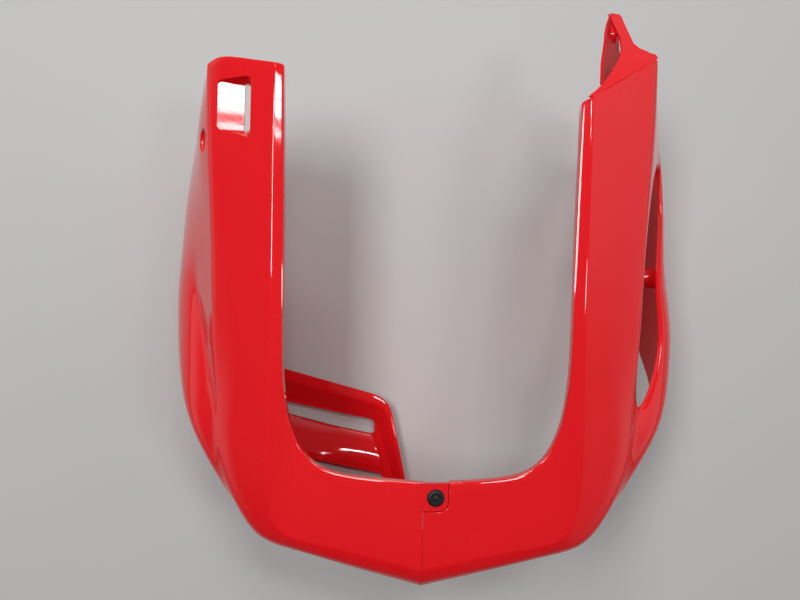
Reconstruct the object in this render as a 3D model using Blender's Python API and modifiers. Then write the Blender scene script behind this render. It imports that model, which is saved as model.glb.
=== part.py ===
"""Motorbike belly pan: two glossy moulded half shells that meet in a keel and are held by a push rivet.

The pan lies on its rear edges with its front face up. X runs across the bike, Y from the keel
towards the arm ends and Z from the rear edges to the front face. The right half shell is at -X.
Lengths in the guide lines are millimetres: (x, y, depth below the front plane).
"""
import math

import bmesh
import bpy
from mathutils import Matrix, Vector

MM = 0.001
FRONT = 250.0
Y_CENTRE = 6.8
WALL = 2.6
SMOOTHING = 1
CUT_GAP = 0.3

RED = (0.62, 0.012, 0.016)
BLACK = (0.012, 0.012, 0.013)

# Guide lines of the half at +X, from the seam round the corner to the end of the arm
RIM = [(-2, -147, 1), (38, -145.5, 4.5), (67, -143.5, 8), (85, -139, 10.5), (99, -128, 11.5),
       (107.5, -111, 10.5), (112, -96, 9), (114.5, -80, 7.5), (116.5, -58, 5), (117, -20, 2.5),
       (117, 10, 2), (117.3, 40, 2), (118, 80, 2), (119, 120, 2), (119.5, 148, 2)]
FIRST_CREASE = [(-2, -217, 2), (38, -208.5, 5), (69, -202, 9), (97.3, -199, 11.5), (118, -193.3, 12.5),
                (124.7, -176.5, 12), (127.3, -153.3, 10), (127.5, -122, 7.5), (127, -81, 4.5),
                (126.5, -25, 1.5), (126.7, 10, 0.5), (126.9, 40, 0), (127.3, 80, 0),
                (127.7, 120, 0), (127.8, 150, 0)]
FACE_INNER = [(-2, -226, 4.5), (39, -217.5, 7.5), (71, -210.5, 11), (99.5, -205.5, 14.5),
              (123.5, -198.3, 16), (134, -181, 15.5), (140, -155.5, 13.5), (144, -120, 12), (144, -82, 9.5), (144, -25, 7.5),
              (145, 10, 7), (145.5, 40, 7), (146, 80, 7), (146.5, 120, 7), (147, 151, 7)]
FACE_OUTER = [(-2, -233, 11), (40, -223.5, 13), (74, -216, 16), (103, -209, 19), (130, -202.3, 20.5),
              (143.5, -183.5, 19.5), (153.5, -156, 18), (161, -118, 17.5), (161, -83, 17), (162, -25, 15.5),
              (164, 10, 15), (165, 40, 15), (167, 80, 15), (169, 120, 15), (170.5, 153, 15)]
OUTER_CREASE = [(-2, -237, 22), (40, -227, 23), (76, -218.5, 26), (106, -210.5, 27), (134.5, -205, 27),
                (150, -185.5, 25), (162.5, -156, 23), (171.5, -116.5, 24), (173.5, -84, 25),
                (178, -25, 23), (178.8, 10, 22.5), (179.8, 40, 22), (182, 80, 22), (184.5, 120, 22),
                (186, 153, 22)]
CREST = [(-2, -236, 75), (40, -226, 76), (76, -218, 78), (106, -210, 80), (138, -206, 78),
         (156, -185, 66), (173, -159, 48), (197, -122, 43), (214, -88, 58), (231.5, -25, 108),
         (234.5, 10, 124), (235, 40, 136), (234.5, 80, 146), (229, 120, 148), (219, 153, 140)]
REAR_EDGE = [(-2, -228, 250), (39, -219, 250), (74, -211, 250), (103, -204, 250), (133, -199, 250),
             (152, -180, 250), (171, -156, 250), (194, -118, 250), (213, -84, 250), (230, -27, 250),
             (233, 10, 250), (234, 40, 250), (234, 80, 250), (230, 120, 238), (220, 153, 204)]

# The right half has a closed groove between its flat side wall and its bulge
GROOVE_SHOULDER = [(-2, -238, 33), (40, -228, 34), (76, -219.5, 38), (106, -211.5, 40), (136, -204.5, 38),
                   (152.5, -183.5, 33), (166.5, -157, 28), (175.5, -116.5, 26.5), (174.8, -84, 26.6),
                   (183.5, -26, 35), (188.5, 10, 39), (190.5, 40, 42), (194.5, 80, 46), (199.5, 120, 48),
                   (198.3, 153, 46)]
GROOVE = [(-2, -238, 43), (40, -228, 44), (76, -219.5, 48), (106, -211.5, 50), (137, -205.5, 48),
          (154.5, -184.5, 41), (169.5, -158.5, 33), (179, -117, 28.5), (176.5, -84, 29), (189.5, -27, 48),
          (203.5, 10, 72), (204, 40, 68), (204.5, 80, 71), (206, 120, 72), (203.5, 153, 70)]
BULGE = [(-2, -237.5, 55), (40, -227.5, 56), (76, -219, 60), (106, -211, 62), (138, -206.5, 60),
         (156, -185.5, 50), (172.5, -159.5, 38), (189, -119, 31), (196.5, -87, 37), (207, -27, 58),
         (217, 10, 84), (218, 40, 98), (220.5, 80, 108), (217, 120, 108), (209.5, 153, 104)]

# The left half has a long open vent there instead, with a drawn-in lip
VENT_FRONT = [(-2, -238, 33), (40, -228, 34), (76, -219.5, 38), (106, -211.5, 40), (136, -204.5, 38),
              (152.5, -183.5, 33), (166.5, -157, 28), (176.5, -118, 27), (178.5, -86, 35), (181.5, -25, 35),
              (184.5, 10, 40), (188, 40, 46), (196.5, 80, 60), (209, 126, 82), (203, 155, 64)]
VENT_BACK = [(-2, -238, 43), (40, -228, 44), (76, -219.5, 48), (106, -211.5, 50), (137, -205.5, 48),
             (154.5, -184.5, 41), (169.5, -158.5, 33), (181, -118, 29), (198, -94, 40), (217, -27, 68),
             (211.5, 10, 74), (213.5, 40, 80), (219, 80, 91), (216, 130, 92), (209, 155, 82)]
VENT_LIP = [(-2, -237.5, 55), (40, -227.5, 56), (76, -219, 60), (106, -211, 62), (138, -206.5, 60),
            (156, -185.5, 50), (172.5, -159.5, 38), (189, -119, 33), (209, -90, 46), (227, -25, 80),
            (224, 10, 90), (224, 40, 100), (227, 80, 112), (223, 124, 112), (216, 153, 104)]
LEFT_REAR_EDGE = [(-2, -233, 150), (40, -223, 151), (75, -215, 152), (105, -208, 152), (136, -204, 150),
                  (154, -183.5, 142), (172.5, -158.5, 126), (199, -118, 108), (226, -84, 108),
                  (240, -51, 222), (239, 10, 250), (240, 40, 250), (239, 80, 250), (233, 120, 238),
                  (221, 153, 204)]
VENT_ROWS = (8, 13)
VENT_COLUMN = 6
VENT_LIP_DRAW = ((-2, 0, 5), (-3.5, 0, 5))

# Ends of the arms, from the rim to the rear edge
RIGHT_END = [(119.7, 186.3, 2), (127.5, 188.2, 0), (148, 192.3, 7), (171.5, 198.8, 15.5), (186.5, 194.6, 21),
             (190.5, 190, 42), (197, 189, 66), (202, 187.5, 96), (207, 185, 130), (211, 178, 172)]
LEFT_END = [(119.7, 162.3, 2), (127.6, 166.5, 0), (146, 178.3, 7), (167, 191.5, 15), (186.3, 203.3, 21.5),
            (194.5, 199, 50), (199, 197, 70), (204, 195, 96), (209, 190, 130), (211, 182, 172)]
END_RETURN = 9.0
END_CREASE = 0.7
END_CREASE_LINES = 9
RIM_RETURN = 9.0
RIGHT_SWELL = (6.0, (7, 0.4), (8, 0.9), (9, 1), (10, 0.6))
LEFT_SWELL = (1.5, (9, 1), (10, 0.6))

# Pocket near the end of the right arm: a ramp that deepens towards a slit at its inner side
POCKET_MOUTH = [(177.6, 124, -4), (145.4, 123, -4), (145.4, 181, -4), (177.6, 185.5, -4)]
POCKET_FLOOR = [(176.8, 138, 19.5), (150.8, 138, 25), (150.8, 175, 25), (176.8, 177, 19.5)]
POCKET_BACK = [(178.4, 128, 20.8), (145, 126, 9.4), (145, 180.5, 9.4), (178.4, 184.5, 20.8)]
POCKET_WALL = 2.2
SLIT = (151, 155.8, 136.5, 176)

# Counterbored screw seat in the side wall of the right arm
SEAT_CENTRE = (194.6, 131.3, 38.0)
SEAT_RADIUS = 10.0
SEAT_SINK = 4.5
SCREW_RADIUS = 3.4
SIDE_FLARE = math.radians(31)

# Rear closing panel of the right half: a flange round a sloped tray with two louvre slots
PANEL_Z = 24.0
PANEL_WALL = 2.4
PANEL_CORNERS = [(222, -64), (32, -108.5), (4.5, -210)]
PANEL_RINGS = [(1.3, 0, 19, 0, 0, 0.19, 8.4), (6, 0, 15, 11, 5.4, 0.34, 8.05),
               (14, 12, 8, 30, 20, 0.66, 7.3)]
TRAY_DROP = 12.0
SLOT_UPPER = [(-176, -111.5), (-148, -116), (-48, -134.5), (-48, -150.5), (-89, -142.9), (-146.5, -129.4),
              (-176, -122.5)]
SLOT_LOWER = [(-137, -176.2), (-37, -195.1), (-38, -207.5), (-137, -187.5)]
SLOT_ROUNDING = 5.0
BLADE = [(-175, -121), (-48.5, -147), (-37, -187.3), (-155, -164.2)]
BLADE_FOOT = [(-175, -121), (-48.5, -147), (-37, -195.6), (-155, -173.3)]
BLADE_RISE = 4.0

# Lap tab of the right half over the left half, held by the push rivet
TAB_REACH = 20.0
TAB_TOP = -146.6
TAB_BOTTOM = -169.3
TAB_RADIUS = 8.0
TAB_WALL = 2.0
TAB_DEPTH = 1.35
TAB_FALL = 0.098
TAB_CLEARANCE = 0.6
RIVET = (9.9, -158.2)
RIVET_HOLE = 3.6
RIVET_HEAD = 7.0
RIVET_DOME = 2.4
RIVET_SHANK = 3.2
RIVET_LENGTH = 12.0
RIVET_BORE = 1.9
PIN_HEAD = 3.4
PIN_STEM = 1.6

# Mounting ear on the slanted end of the left arm: (along the end edge, away from it)
EAR_ORIGIN = (125.4, 165.6, -0.2)
EAR_END = (185.9, 203.2, 20.4)
EAR_FALL = 0.4
EAR_OUTLINE = [(0.5, 1.7), (2.9, 2.4), (8.7, 3.2), (17.2, 5.5), (27.3, 9.1), (40.7, 15.9),
               (46.6, 19.4), (52.9, 25), (58.7, 34.4), (61.5, 44.6), (64.5, 54.6), (65.2, 58.2),
               (73, 53.9), (74, 50.9), (70.4, 40.8), (67.9, 32.2), (65.3, 23.9), (66.5, 17.6),
               (70.2, 12), (71.6, 9), (72, 5), (71.4, -1), (40, -1), (2.5, -1)]
EAR_WALL = 2.4
EAR_FLANGE = [((136.5, 180, 9), (150, 180, 42)), ((138.8, 199, 17), (158, 199, 50)),
              ((143.3, 220, 26), (163, 220, 56)), ((147.2, 238, 35), (163, 238, 60)),
              ((152.6, 250, 43), (164, 249, 60)), ((161, 249, 43), (167, 247, 52))]
EAR_HOLE = (149.5, 233.0, 46.0)
EAR_BOSS_RADIUS = 8.0
EAR_BOSS_LENGTH = 8.0

# Screw boss on the inside of the left half's skin, seen through the vent
VENT_BOSS = (210.5, 26, 107)
VENT_BOSS_RADIUS = 9.5
VENT_BOSS_LENGTH = 24.0
VENT_BOSS_SLANT = 0.34


def place(x, y, depth, side=1):
    """World place of a guide point, on the +X half or mirrored."""
    return Vector((side * x, y - Y_CENTRE, FRONT - depth)) * MM


def between(a, b, t):
    """Point a part of the way from one guide point to the next."""
    return tuple(p + (q - p) * t for p, q in zip(a, b))


def material(name, colour, roughness, coat=0.0):
    """Principled material of one sub-part."""
    mat = bpy.data.materials.new(name)
    mat.use_nodes = True
    shader = mat.node_tree.nodes["Principled BSDF"]
    shader.inputs["Base Color"].default_value = (*colour, 1)
    shader.inputs["Roughness"].default_value = roughness
    shader.inputs["Metallic"].default_value = 0
    shader.inputs["Coat Weight"].default_value = coat
    mat.diffuse_color = (*colour, 1)
    return mat


def add_object(name, mesh, collection, mat=None):
    """Object of a mesh, in its collection, with its material."""
    thing = bpy.data.objects.new(name, mesh)
    collection.objects.link(thing)
    if mat:
        mesh.materials.append(mat)
    return thing


def mesh_of(bm, name):
    """Mesh of a finished bmesh, which is freed."""
    mesh = bpy.data.meshes.new(name)
    bm.to_mesh(mesh)
    bm.free()
    return mesh


def add_cutter(name, mesh):
    """Hidden object that a Boolean uses."""
    thing = add_object(name, mesh, CUTTERS)
    thing.hide_render = True
    thing.display_type = "WIRE"
    return thing


def combine(target, tool, operation):
    """Boolean of a part with a hidden tool."""
    step = target.modifiers.new(tool.name, "BOOLEAN")
    step.operation = operation
    step.solver = "EXACT"
    step.object = tool


def shell_modifiers(thing, wall):
    """Smooth an open cage and give it its wall, inwards."""
    smooth = thing.modifiers.new("smooth", "SUBSURF")
    smooth.levels = SMOOTHING
    smooth.render_levels = SMOOTHING
    smooth.boundary_smooth = "PRESERVE_CORNERS"
    skin = thing.modifiers.new("wall", "SOLIDIFY")
    skin.thickness = wall * MM
    skin.offset = -1
    skin.use_even_offset = True


def cage_mesh(name, columns, creases, side, hole=None, lip=None):
    """Quad sheet through guide lines, with creased lines and an optional lipped opening.

    A crease is (line, first station, last station, sharpness); the arm's end edge is creased too.
    """
    bm = bmesh.new()
    grid = [[bm.verts.new(place(*point, side)) for point in column] for column in columns]
    rows = len(columns[0])
    for j in range(len(columns) - 1):
        for i in range(rows - 1):
            if hole and j == hole[0] and hole[1] <= i < hole[2]:
                continue
            corners = [grid[j][i], grid[j + 1][i], grid[j + 1][i + 1], grid[j][i + 1]]
            bm.faces.new(corners if side > 0 else corners[::-1])
    weight = bm.edges.layers.float.new("crease_edge")
    for j, first, last, value in creases:
        for i in range(first, min(last, rows - 1)):
            bm.edges.get((grid[j][i], grid[j][i + 1]))[weight] = value
    end = rows - 2
    for j in range(END_CREASE_LINES):
        bm.edges.get((grid[j][end], grid[j + 1][end]))[weight] = END_CREASE
    if hole:
        draw_in_lip(bm, grid, hole, lip, side)
    bmesh.ops.recalc_face_normals(bm, faces=bm.faces)
    turn_faces_out(bm, side)
    return mesh_of(bm, name)


def turn_faces_out(bm, side):
    """Make the sheet's faces look away from the inside of the pan."""
    inside = Vector((side * 60, -20, 60)) * MM
    score = sum(f.normal.dot(f.calc_center_median() - inside) * f.calc_area() for f in bm.faces)
    if score < 0:
        bmesh.ops.reverse_faces(bm, faces=bm.faces)


def draw_in_lip(bm, grid, hole, lip, side):
    """Draw the edge of an opening in, away from the outer skin."""
    column, first, last = hole
    front = [grid[column][i] for i in range(first, last + 1)]
    back = [grid[column + 1][i] for i in range(first, last + 1)]
    loop = front + back[::-1]
    edges = [bm.edges.get((a, b)) for a, b in zip(loop, loop[1:] + loop[:1])]
    result = bmesh.ops.extrude_edge_only(bm, edges=edges)
    moved = [e for e in result["geom"] if isinstance(e, bmesh.types.BMVert)]
    for vert in moved:
        source = min(loop, key=lambda v: (v.co - vert.co).length)
        is_front = source in front
        drop = lip[0] if is_front else lip[1]
        vert.co += Vector((side * drop[0], drop[1], -drop[2])) * MM


def half_columns(shoulder, groove, bulge, rear, end):
    """Guide lines of one half, from the inner return to the rear edge, with the end of its arm."""
    lines = [RIM, FIRST_CREASE, FACE_INNER, FACE_OUTER, OUTER_CREASE, shoulder, groove, bulge, CREST]
    lines = [line + [end[k]] for k, line in enumerate(lines)]
    rear = rear + [end[9]]
    lower = [between(a, b, 0.5) for a, b in zip(lines[8], rear)]
    inner = [(x, y, depth + RIM_RETURN) for x, y, depth in lines[0]]
    columns = [inner] + lines + [lower, rear]
    for j, column in enumerate(columns):
        x, y, depth = column[-1]
        turn = math.pi / 2 * min(1, max(0, (j - 4) / 3))
        column.append((x - END_RETURN * math.sin(turn), y + 0.4, depth + END_RETURN * math.cos(turn)))
    x, y, depth = inner[-1]
    columns[0] = inner[:-2] + [(x + 2, y - 3, depth), (x + 4, y - 2, depth + 4)]
    return columns


def swell(columns, amount, *shares):
    """Push guide lines of a side wall out, each by its share of an amount, away from the keel."""
    for j, share in shares:
        for i, (x, y, depth) in enumerate(columns[j]):
            reach = min(1, max(0, (y + 150) / 70))
            columns[j][i] = (x + amount * share * reach, y, depth)


def make_right_shell(mat):
    """Right half shell: groove in the side, pocket, screw seat, closing panel and lap tab."""
    columns = half_columns(GROOVE_SHOULDER, GROOVE, BULGE, REAR_EDGE, RIGHT_END)
    swell(columns, *RIGHT_SWELL)
    last = len(columns[0]) - 2
    creases = [(1, 0, last, 0.6), (2, 0, last, 0.55), (5, 7, 8, 0.3), (5, 8, last, 0.5), (7, 8, 11, 0.6)]
    mesh = cage_mesh("right_half_shell", columns, creases, -1)
    shell = add_object("right_half_shell", mesh, PARTS, mat)
    shell_modifiers(shell, WALL)
    add_pocket(shell)
    add_screw_seat(shell)
    add_closing_panel(shell, columns)
    trim_at_seam(shell, -1)
    add_lap_tab(shell)
    return shell


def make_left_shell(mat):
    """Left half shell: open vent with a lip and a boss, joggle under the tab, and mounting ear."""
    columns = half_columns(VENT_FRONT, VENT_BACK, VENT_LIP, LEFT_REAR_EDGE, LEFT_END)
    swell(columns, *LEFT_SWELL)
    last = len(columns[0]) - 2
    creases = [(1, 0, last, 0.6), (2, 0, last, 0.55), (5, 6, last, 0.45)]
    hole = (VENT_COLUMN, *VENT_ROWS)
    mesh = cage_mesh("left_half_shell", columns, creases, 1, hole, VENT_LIP_DRAW)
    shell = add_object("left_half_shell", mesh, PARTS, mat)
    shell_modifiers(shell, WALL)
    trim_at_seam(shell, 1)
    add_joggle(shell)
    add_ear(shell)
    add_vent_boss(shell)
    return shell


def hull_mesh(name, points):
    """Convex block through its corners."""
    bm = bmesh.new()
    verts = [bm.verts.new(p) for p in points]
    bmesh.ops.convex_hull(bm, input=verts)
    bmesh.ops.recalc_face_normals(bm, faces=bm.faces)
    return mesh_of(bm, name)


def block(name, low, high):
    """Straight box between two corners in metres."""
    bm = bmesh.new()
    bmesh.ops.create_cube(bm, size=1)
    centre = (Vector(low) + Vector(high)) / 2
    size = Vector(high) - Vector(low)
    bmesh.ops.transform(bm, matrix=Matrix.Translation(centre) @ Matrix.Diagonal((*size, 1)), verts=bm.verts)
    return mesh_of(bm, name)


def cylinder(name, radius, length, sides=32):
    """Closed cylinder along Z, centred."""
    bm = bmesh.new()
    bmesh.ops.create_cone(bm, cap_ends=True, segments=sides, radius1=radius, radius2=radius, depth=length)
    return mesh_of(bm, name)


def rounded_outline(points, radius, steps=6):
    """Closed outline in which the chosen corners become arcs; points are (x, y, rounded)."""
    outline = []
    for k, (x, y, rounded) in enumerate(points):
        corner = Vector((x, y))
        if not rounded:
            outline.append(corner)
            continue
        before = Vector(points[k - 1][:2])
        after = Vector(points[(k + 1) % len(points)][:2])
        start = corner + (before - corner).normalized() * radius
        end = corner + (after - corner).normalized() * radius
        for n in range(steps + 1):
            t = n / steps
            outline.append(start * (1 - t) ** 2 + corner * 2 * t * (1 - t) + end * t ** 2)
    return outline


def prism(name, outline, low, high):
    """Solid of a flat outline between two heights, in metres."""
    bm = bmesh.new()
    face = bm.faces.new([bm.verts.new((p[0], p[1], low)) for p in outline])
    top = bmesh.ops.extrude_face_region(bm, geom=[face])
    moved = [v for v in top["geom"] if isinstance(v, bmesh.types.BMVert)]
    bmesh.ops.translate(bm, vec=(0, 0, high - low), verts=moved)
    bmesh.ops.recalc_face_normals(bm, faces=bm.faces)
    return mesh_of(bm, name)


def trim_at_seam(shell, side):
    """Cut the joint face flat, a hair from the seam plane."""
    edge = CUT_GAP / 2 * MM * side
    far = -40 * MM * side
    low = (min(edge, far), -0.4, -0.1)
    high = (max(edge, far), 0.4, 0.4)
    combine(shell, add_cutter(f"seam_{shell.name}", block("seam", low, high)), "DIFFERENCE")


def add_pocket(shell):
    """Pocket with a ramped floor, thin walls behind the face and a slit at its inner side."""
    mouth = [place(*point, -1) for point in POCKET_MOUTH]
    floor = [place(*point, -1) for point in POCKET_FLOOR]
    centre = sum(floor, Vector()) / 4
    outer = [place(*point, -1) for point in POCKET_BACK]
    for point in floor:
        away = point - centre
        outward = Vector((math.copysign(1, away.x), math.copysign(1, away.y), -1))
        outer.append(point + outward * POCKET_WALL * MM)
    combine(shell, add_cutter("pocket_walls", hull_mesh("pocket_walls", outer)), "UNION")
    combine(shell, add_cutter("pocket_space", hull_mesh("pocket_space", mouth + floor)), "DIFFERENCE")
    x0, x1, y0, y1 = SLIT
    low = place(x1, y0, 60, -1)
    high = place(x0, y1, 20, -1)
    combine(shell, add_cutter("pocket_slit", block("pocket_slit", low, high)), "DIFFERENCE")


def cross_tool(name, radius, length, centre, side, offset=0.0, flare=0.0):
    """Hidden cylinder square to a side wall that flares by an angle; offset runs outwards."""
    tool = add_cutter(name, cylinder(name, radius * MM, length * MM))
    turn = side * (math.pi / 2 - flare)
    tool.rotation_euler = (0, turn, 0)
    outward = Vector((math.sin(turn), 0, math.cos(turn)))
    tool.location = place(*centre, side) + outward * offset * MM
    return tool


def add_screw_seat(shell):
    """Counterbored screw seat in the side wall."""
    boss = cross_tool("seat_boss", SEAT_RADIUS + 2, 8, SEAT_CENTRE, -1, -6.2, SIDE_FLARE)
    combine(shell, boss, "UNION")
    sink = cross_tool("seat_sink", SEAT_RADIUS, 20, SEAT_CENTRE, -1, 10 - SEAT_SINK, SIDE_FLARE)
    combine(shell, sink, "DIFFERENCE")
    hole = cross_tool("seat_hole", SCREW_RADIUS, 40, SEAT_CENTRE, -1, 0, SIDE_FLARE)
    combine(shell, hole, "DIFFERENCE")


def spline_point(points, t):
    """Point of the smooth line that the cage's guide points make, at a fractional station."""
    k = min(int(t), len(points) - 2)
    f = t - k
    last = len(points) - 1
    p = [Vector(points[max(0, min(last, k + n))]) for n in (-1, 0, 1, 2)]
    if k == 0:
        p[0] = p[1] * 2 - p[2]
    if k == last - 1:
        p[3] = p[2] * 2 - p[1]
    weights = ((1 - f) ** 3, 3 * f ** 3 - 6 * f * f + 4, -3 * f ** 3 + 3 * f * f + 3 * f + 1, f ** 3)
    return sum((q * w for q, w in zip(p, weights)), Vector((0, 0, 0))) / 6


def crossing(a, along_a, b, along_b):
    """Where two flat lines meet."""
    share = (b - a).cross(along_b) / along_a.cross(along_b)
    return a + along_a * share


def panel_ring(columns, inset, drop, radius, from_top, from_side, first, last):
    """Ring of the closing panel on the +X half: beside the skin, then along its free edges."""
    lower, rear = columns[-2], columns[-1]
    count = 17
    along = []
    for n in range(count):
        t = first + (last - first) * n / (count - 1)
        a = spline_point(lower, t)
        b = spline_point(rear, t)
        share = (FRONT - PANEL_Z - a.z) / (b.z - a.z)
        along.append((a + (b - a) * share).to_2d())
    points = []
    for k, here in enumerate(along):
        ahead = along[min(k + 1, count - 1)] - along[max(k - 1, 0)]
        inward = Vector((-ahead.y, ahead.x)).normalized()
        points.append(here + inward * inset)
    outer, corner, foot = (Vector(p) for p in PANEL_CORNERS)
    top = (corner - outer).normalized()
    side = (foot - corner).normalized()
    on_top = corner + Vector((-top.y, top.x)) * from_top
    on_side = corner + Vector((-side.y, side.x)) * from_side
    turn = crossing(on_top, top, on_side, side)
    free = rounded_outline([(*points[-1], False), (*turn, True), (*points[0], False)], radius)
    return [(p.x, p.y, FRONT - PANEL_Z + drop) for p in points + free[1:-1]]


def panel_sheet(columns):
    """Open sheet of the closing panel: flange, sloped step and tray."""
    bm = bmesh.new()
    rings = [[bm.verts.new(place(*p, -1)) for p in panel_ring(columns, *ring)] for ring in PANEL_RINGS]
    for outer, inner in zip(rings, rings[1:]):
        for k in range(len(outer)):
            bm.faces.new([outer[k - 1], outer[k], inner[k], inner[k - 1]])
    bm.faces.new(rings[-1])
    bmesh.ops.recalc_face_normals(bm, faces=bm.faces)
    if sum(f.normal.z for f in bm.faces) < 0:
        bmesh.ops.reverse_faces(bm, faces=bm.faces)
    return mesh_of(bm, "closing_panel")


def slot_tool(name, outline):
    """Hidden prism that cuts a slot through the tray."""
    corners = [(-x, y, True) for x, y in outline]
    rounded = rounded_outline(corners, SLOT_ROUNDING, 3)
    flat = [place(p.x, p.y, 0, -1) for p in rounded]
    return add_cutter(name, prism(name, flat, 0.002, (PANEL_Z - 4) * MM))


def add_closing_panel(shell, columns):
    """Rear panel: a flat flange, a sloped step down to the tray, a raised blade and two slots."""
    panel = add_cutter("closing_panel", panel_sheet(columns))
    skin = panel.modifiers.new("wall", "SOLIDIFY")
    skin.thickness = PANEL_WALL * MM
    skin.offset = -1
    combine(shell, panel, "UNION")
    tray_depth = FRONT - PANEL_Z + TRAY_DROP
    blade = [place(-x, y, tray_depth - BLADE_RISE, -1) for x, y in BLADE]
    blade += [place(-x, y, tray_depth + PANEL_WALL / 2, -1) for x, y in BLADE_FOOT]
    combine(shell, add_cutter("louvre_blade", hull_mesh("louvre_blade", blade)), "UNION")
    combine(shell, slot_tool("upper_slot", SLOT_UPPER), "DIFFERENCE")
    combine(shell, slot_tool("lower_slot", SLOT_LOWER), "DIFFERENCE")


def tab_solid(name, grow, top, depth, wall, start=0.0):
    """Rounded plate in the plane of the left half's band, from the seam to past the rivet."""
    corners = [(start, top, False), (start, TAB_BOTTOM - grow, False),
               (TAB_REACH + grow, TAB_BOTTOM - grow, True), (TAB_REACH + grow, top, False)]
    outline = rounded_outline(corners, TAB_RADIUS + grow)
    flat = [(p.x * MM, (p.y - Y_CENTRE) * MM) for p in outline]
    mesh = prism(name, flat, (FRONT - depth - wall) * MM, (FRONT - depth) * MM)
    for vert in mesh.vertices:
        vert.co.z -= TAB_FALL * vert.co.x
    return add_cutter(name, mesh)


def rivet_hole(name):
    """Hidden cylinder square to the tab, at the rivet."""
    tool = add_cutter(name, cylinder(name, RIVET_HOLE * MM, 30 * MM, 32))
    tool.matrix_world = rivet_frame()
    return tool


def rivet_frame():
    """Place and tilt of the rivet: its origin is on the tab's outer face."""
    x, y = RIVET
    tilt = Matrix.Rotation(math.atan(TAB_FALL), 4, "Y")
    return Matrix.Translation(place(x, y, TAB_DEPTH + TAB_FALL * x)) @ tilt


def add_lap_tab(shell):
    """Tab that laps over the other half and takes the rivet."""
    combine(shell, tab_solid("lap_tab", 0, TAB_TOP, TAB_DEPTH, TAB_WALL, -2.5), "UNION")
    combine(shell, rivet_hole("tab_hole"), "DIFFERENCE")


def add_joggle(shell):
    """Step in the left half's band that takes the tab, a wall lower, so their faces are flush."""
    room = tab_solid("tab_room", TAB_CLEARANCE, TAB_TOP + 8, -5, 24, -1)
    combine(shell, room, "DIFFERENCE")
    floor_depth = TAB_DEPTH + TAB_WALL + CUT_GAP
    floor = tab_solid("joggle_floor", 3.5, TAB_TOP, floor_depth, 2.4, CUT_GAP / 2)
    combine(shell, floor, "UNION")
    combine(shell, rivet_hole("joggle_hole"), "DIFFERENCE")


def ear_point(u, v, below=0.0):
    """World place on the flat slanted end of the left arm, or below it."""
    start = Vector(EAR_ORIGIN)
    along = Vector(EAR_END) - start
    reach = math.hypot(along.x, along.y)
    x = start.x + (u * along.x - v * along.y) / reach
    y = start.y + (u * along.y + v * along.x) / reach
    depth = start.z + u * along.z / reach + v * EAR_FALL
    return place(x, y, depth + below)


def add_ear(shell):
    """Mounting ear: slanted front plate, inner flange with its screw boss and hole, and end wall."""
    bm = bmesh.new()
    face = bm.faces.new([bm.verts.new(ear_point(u, v)) for u, v in EAR_OUTLINE])
    bmesh.ops.recalc_face_normals(bm, faces=[face])
    plate = add_cutter("ear_plate", mesh_of(bm, "ear_plate"))
    skin = plate.modifiers.new("wall", "SOLIDIFY")
    skin.thickness = EAR_WALL * MM
    skin.offset = 1 if plate.data.polygons[0].normal.z < 0 else -1
    combine(shell, plate, "UNION")
    bm = bmesh.new()
    upper = [bm.verts.new(place(*near)) for near, far in EAR_FLANGE]
    lower = [bm.verts.new(place(*far)) for near, far in EAR_FLANGE]
    for k in range(len(upper) - 1):
        bm.faces.new([upper[k], upper[k + 1], lower[k + 1], lower[k]])
    flange = add_cutter("ear_flange", mesh_of(bm, "ear_flange"))
    skin = flange.modifiers.new("wall", "SOLIDIFY")
    skin.thickness = EAR_WALL * MM
    skin.offset = 0
    combine(shell, flange, "UNION")
    boss = cross_tool("ear_boss", EAR_BOSS_RADIUS, EAR_BOSS_LENGTH, EAR_HOLE, 1, EAR_BOSS_LENGTH / 2)
    combine(shell, boss, "UNION")
    combine(shell, cross_tool("ear_hole", SCREW_RADIUS, 30, EAR_HOLE, 1), "DIFFERENCE")


def add_vent_boss(shell):
    """Screw boss that stands on the inside of the skin behind the vent."""
    boss = cross_tool("vent_boss", VENT_BOSS_RADIUS, VENT_BOSS_LENGTH, VENT_BOSS, 1)
    for vert in boss.data.vertices:
        if vert.co.z > 0:
            vert.co.z += VENT_BOSS_SLANT * vert.co.x + 2 * MM
    combine(shell, boss, "UNION")
    bore = cross_tool("vent_boss_bore", SCREW_RADIUS, 14, VENT_BOSS, 1, -VENT_BOSS_LENGTH / 2)
    combine(shell, bore, "DIFFERENCE")


def turned(name, profile, collection, mat=None, sides=32):
    """Solid turned about Z from a profile of (radius, height) in millimetres."""
    bm = bmesh.new()
    verts = [bm.verts.new((r * MM, 0, z * MM)) for r, z in profile]
    edges = [bm.edges.new(pair) for pair in zip(verts, verts[1:])]
    bmesh.ops.spin(bm, geom=verts + edges, cent=(0, 0, 0), axis=(0, 0, 1), angle=2 * math.pi,
                   steps=sides, use_merge=True)
    bmesh.ops.remove_doubles(bm, verts=bm.verts, dist=1e-6)
    bmesh.ops.recalc_face_normals(bm, faces=bm.faces)
    mesh = mesh_of(bm, name)
    mesh.shade_smooth()
    mesh.set_sharp_from_angle(angle=math.radians(35))
    return add_object(name, mesh, collection, mat)


def dome(radius, height, inner, steps=6):
    """Profile of a domed head from its rim to an inner radius."""
    return [(radius + (inner - radius) * n / steps,
             0.6 + (height - 0.6) * math.sqrt(1 - (1 - n / steps) ** 2)) for n in range(steps + 1)]


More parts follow.
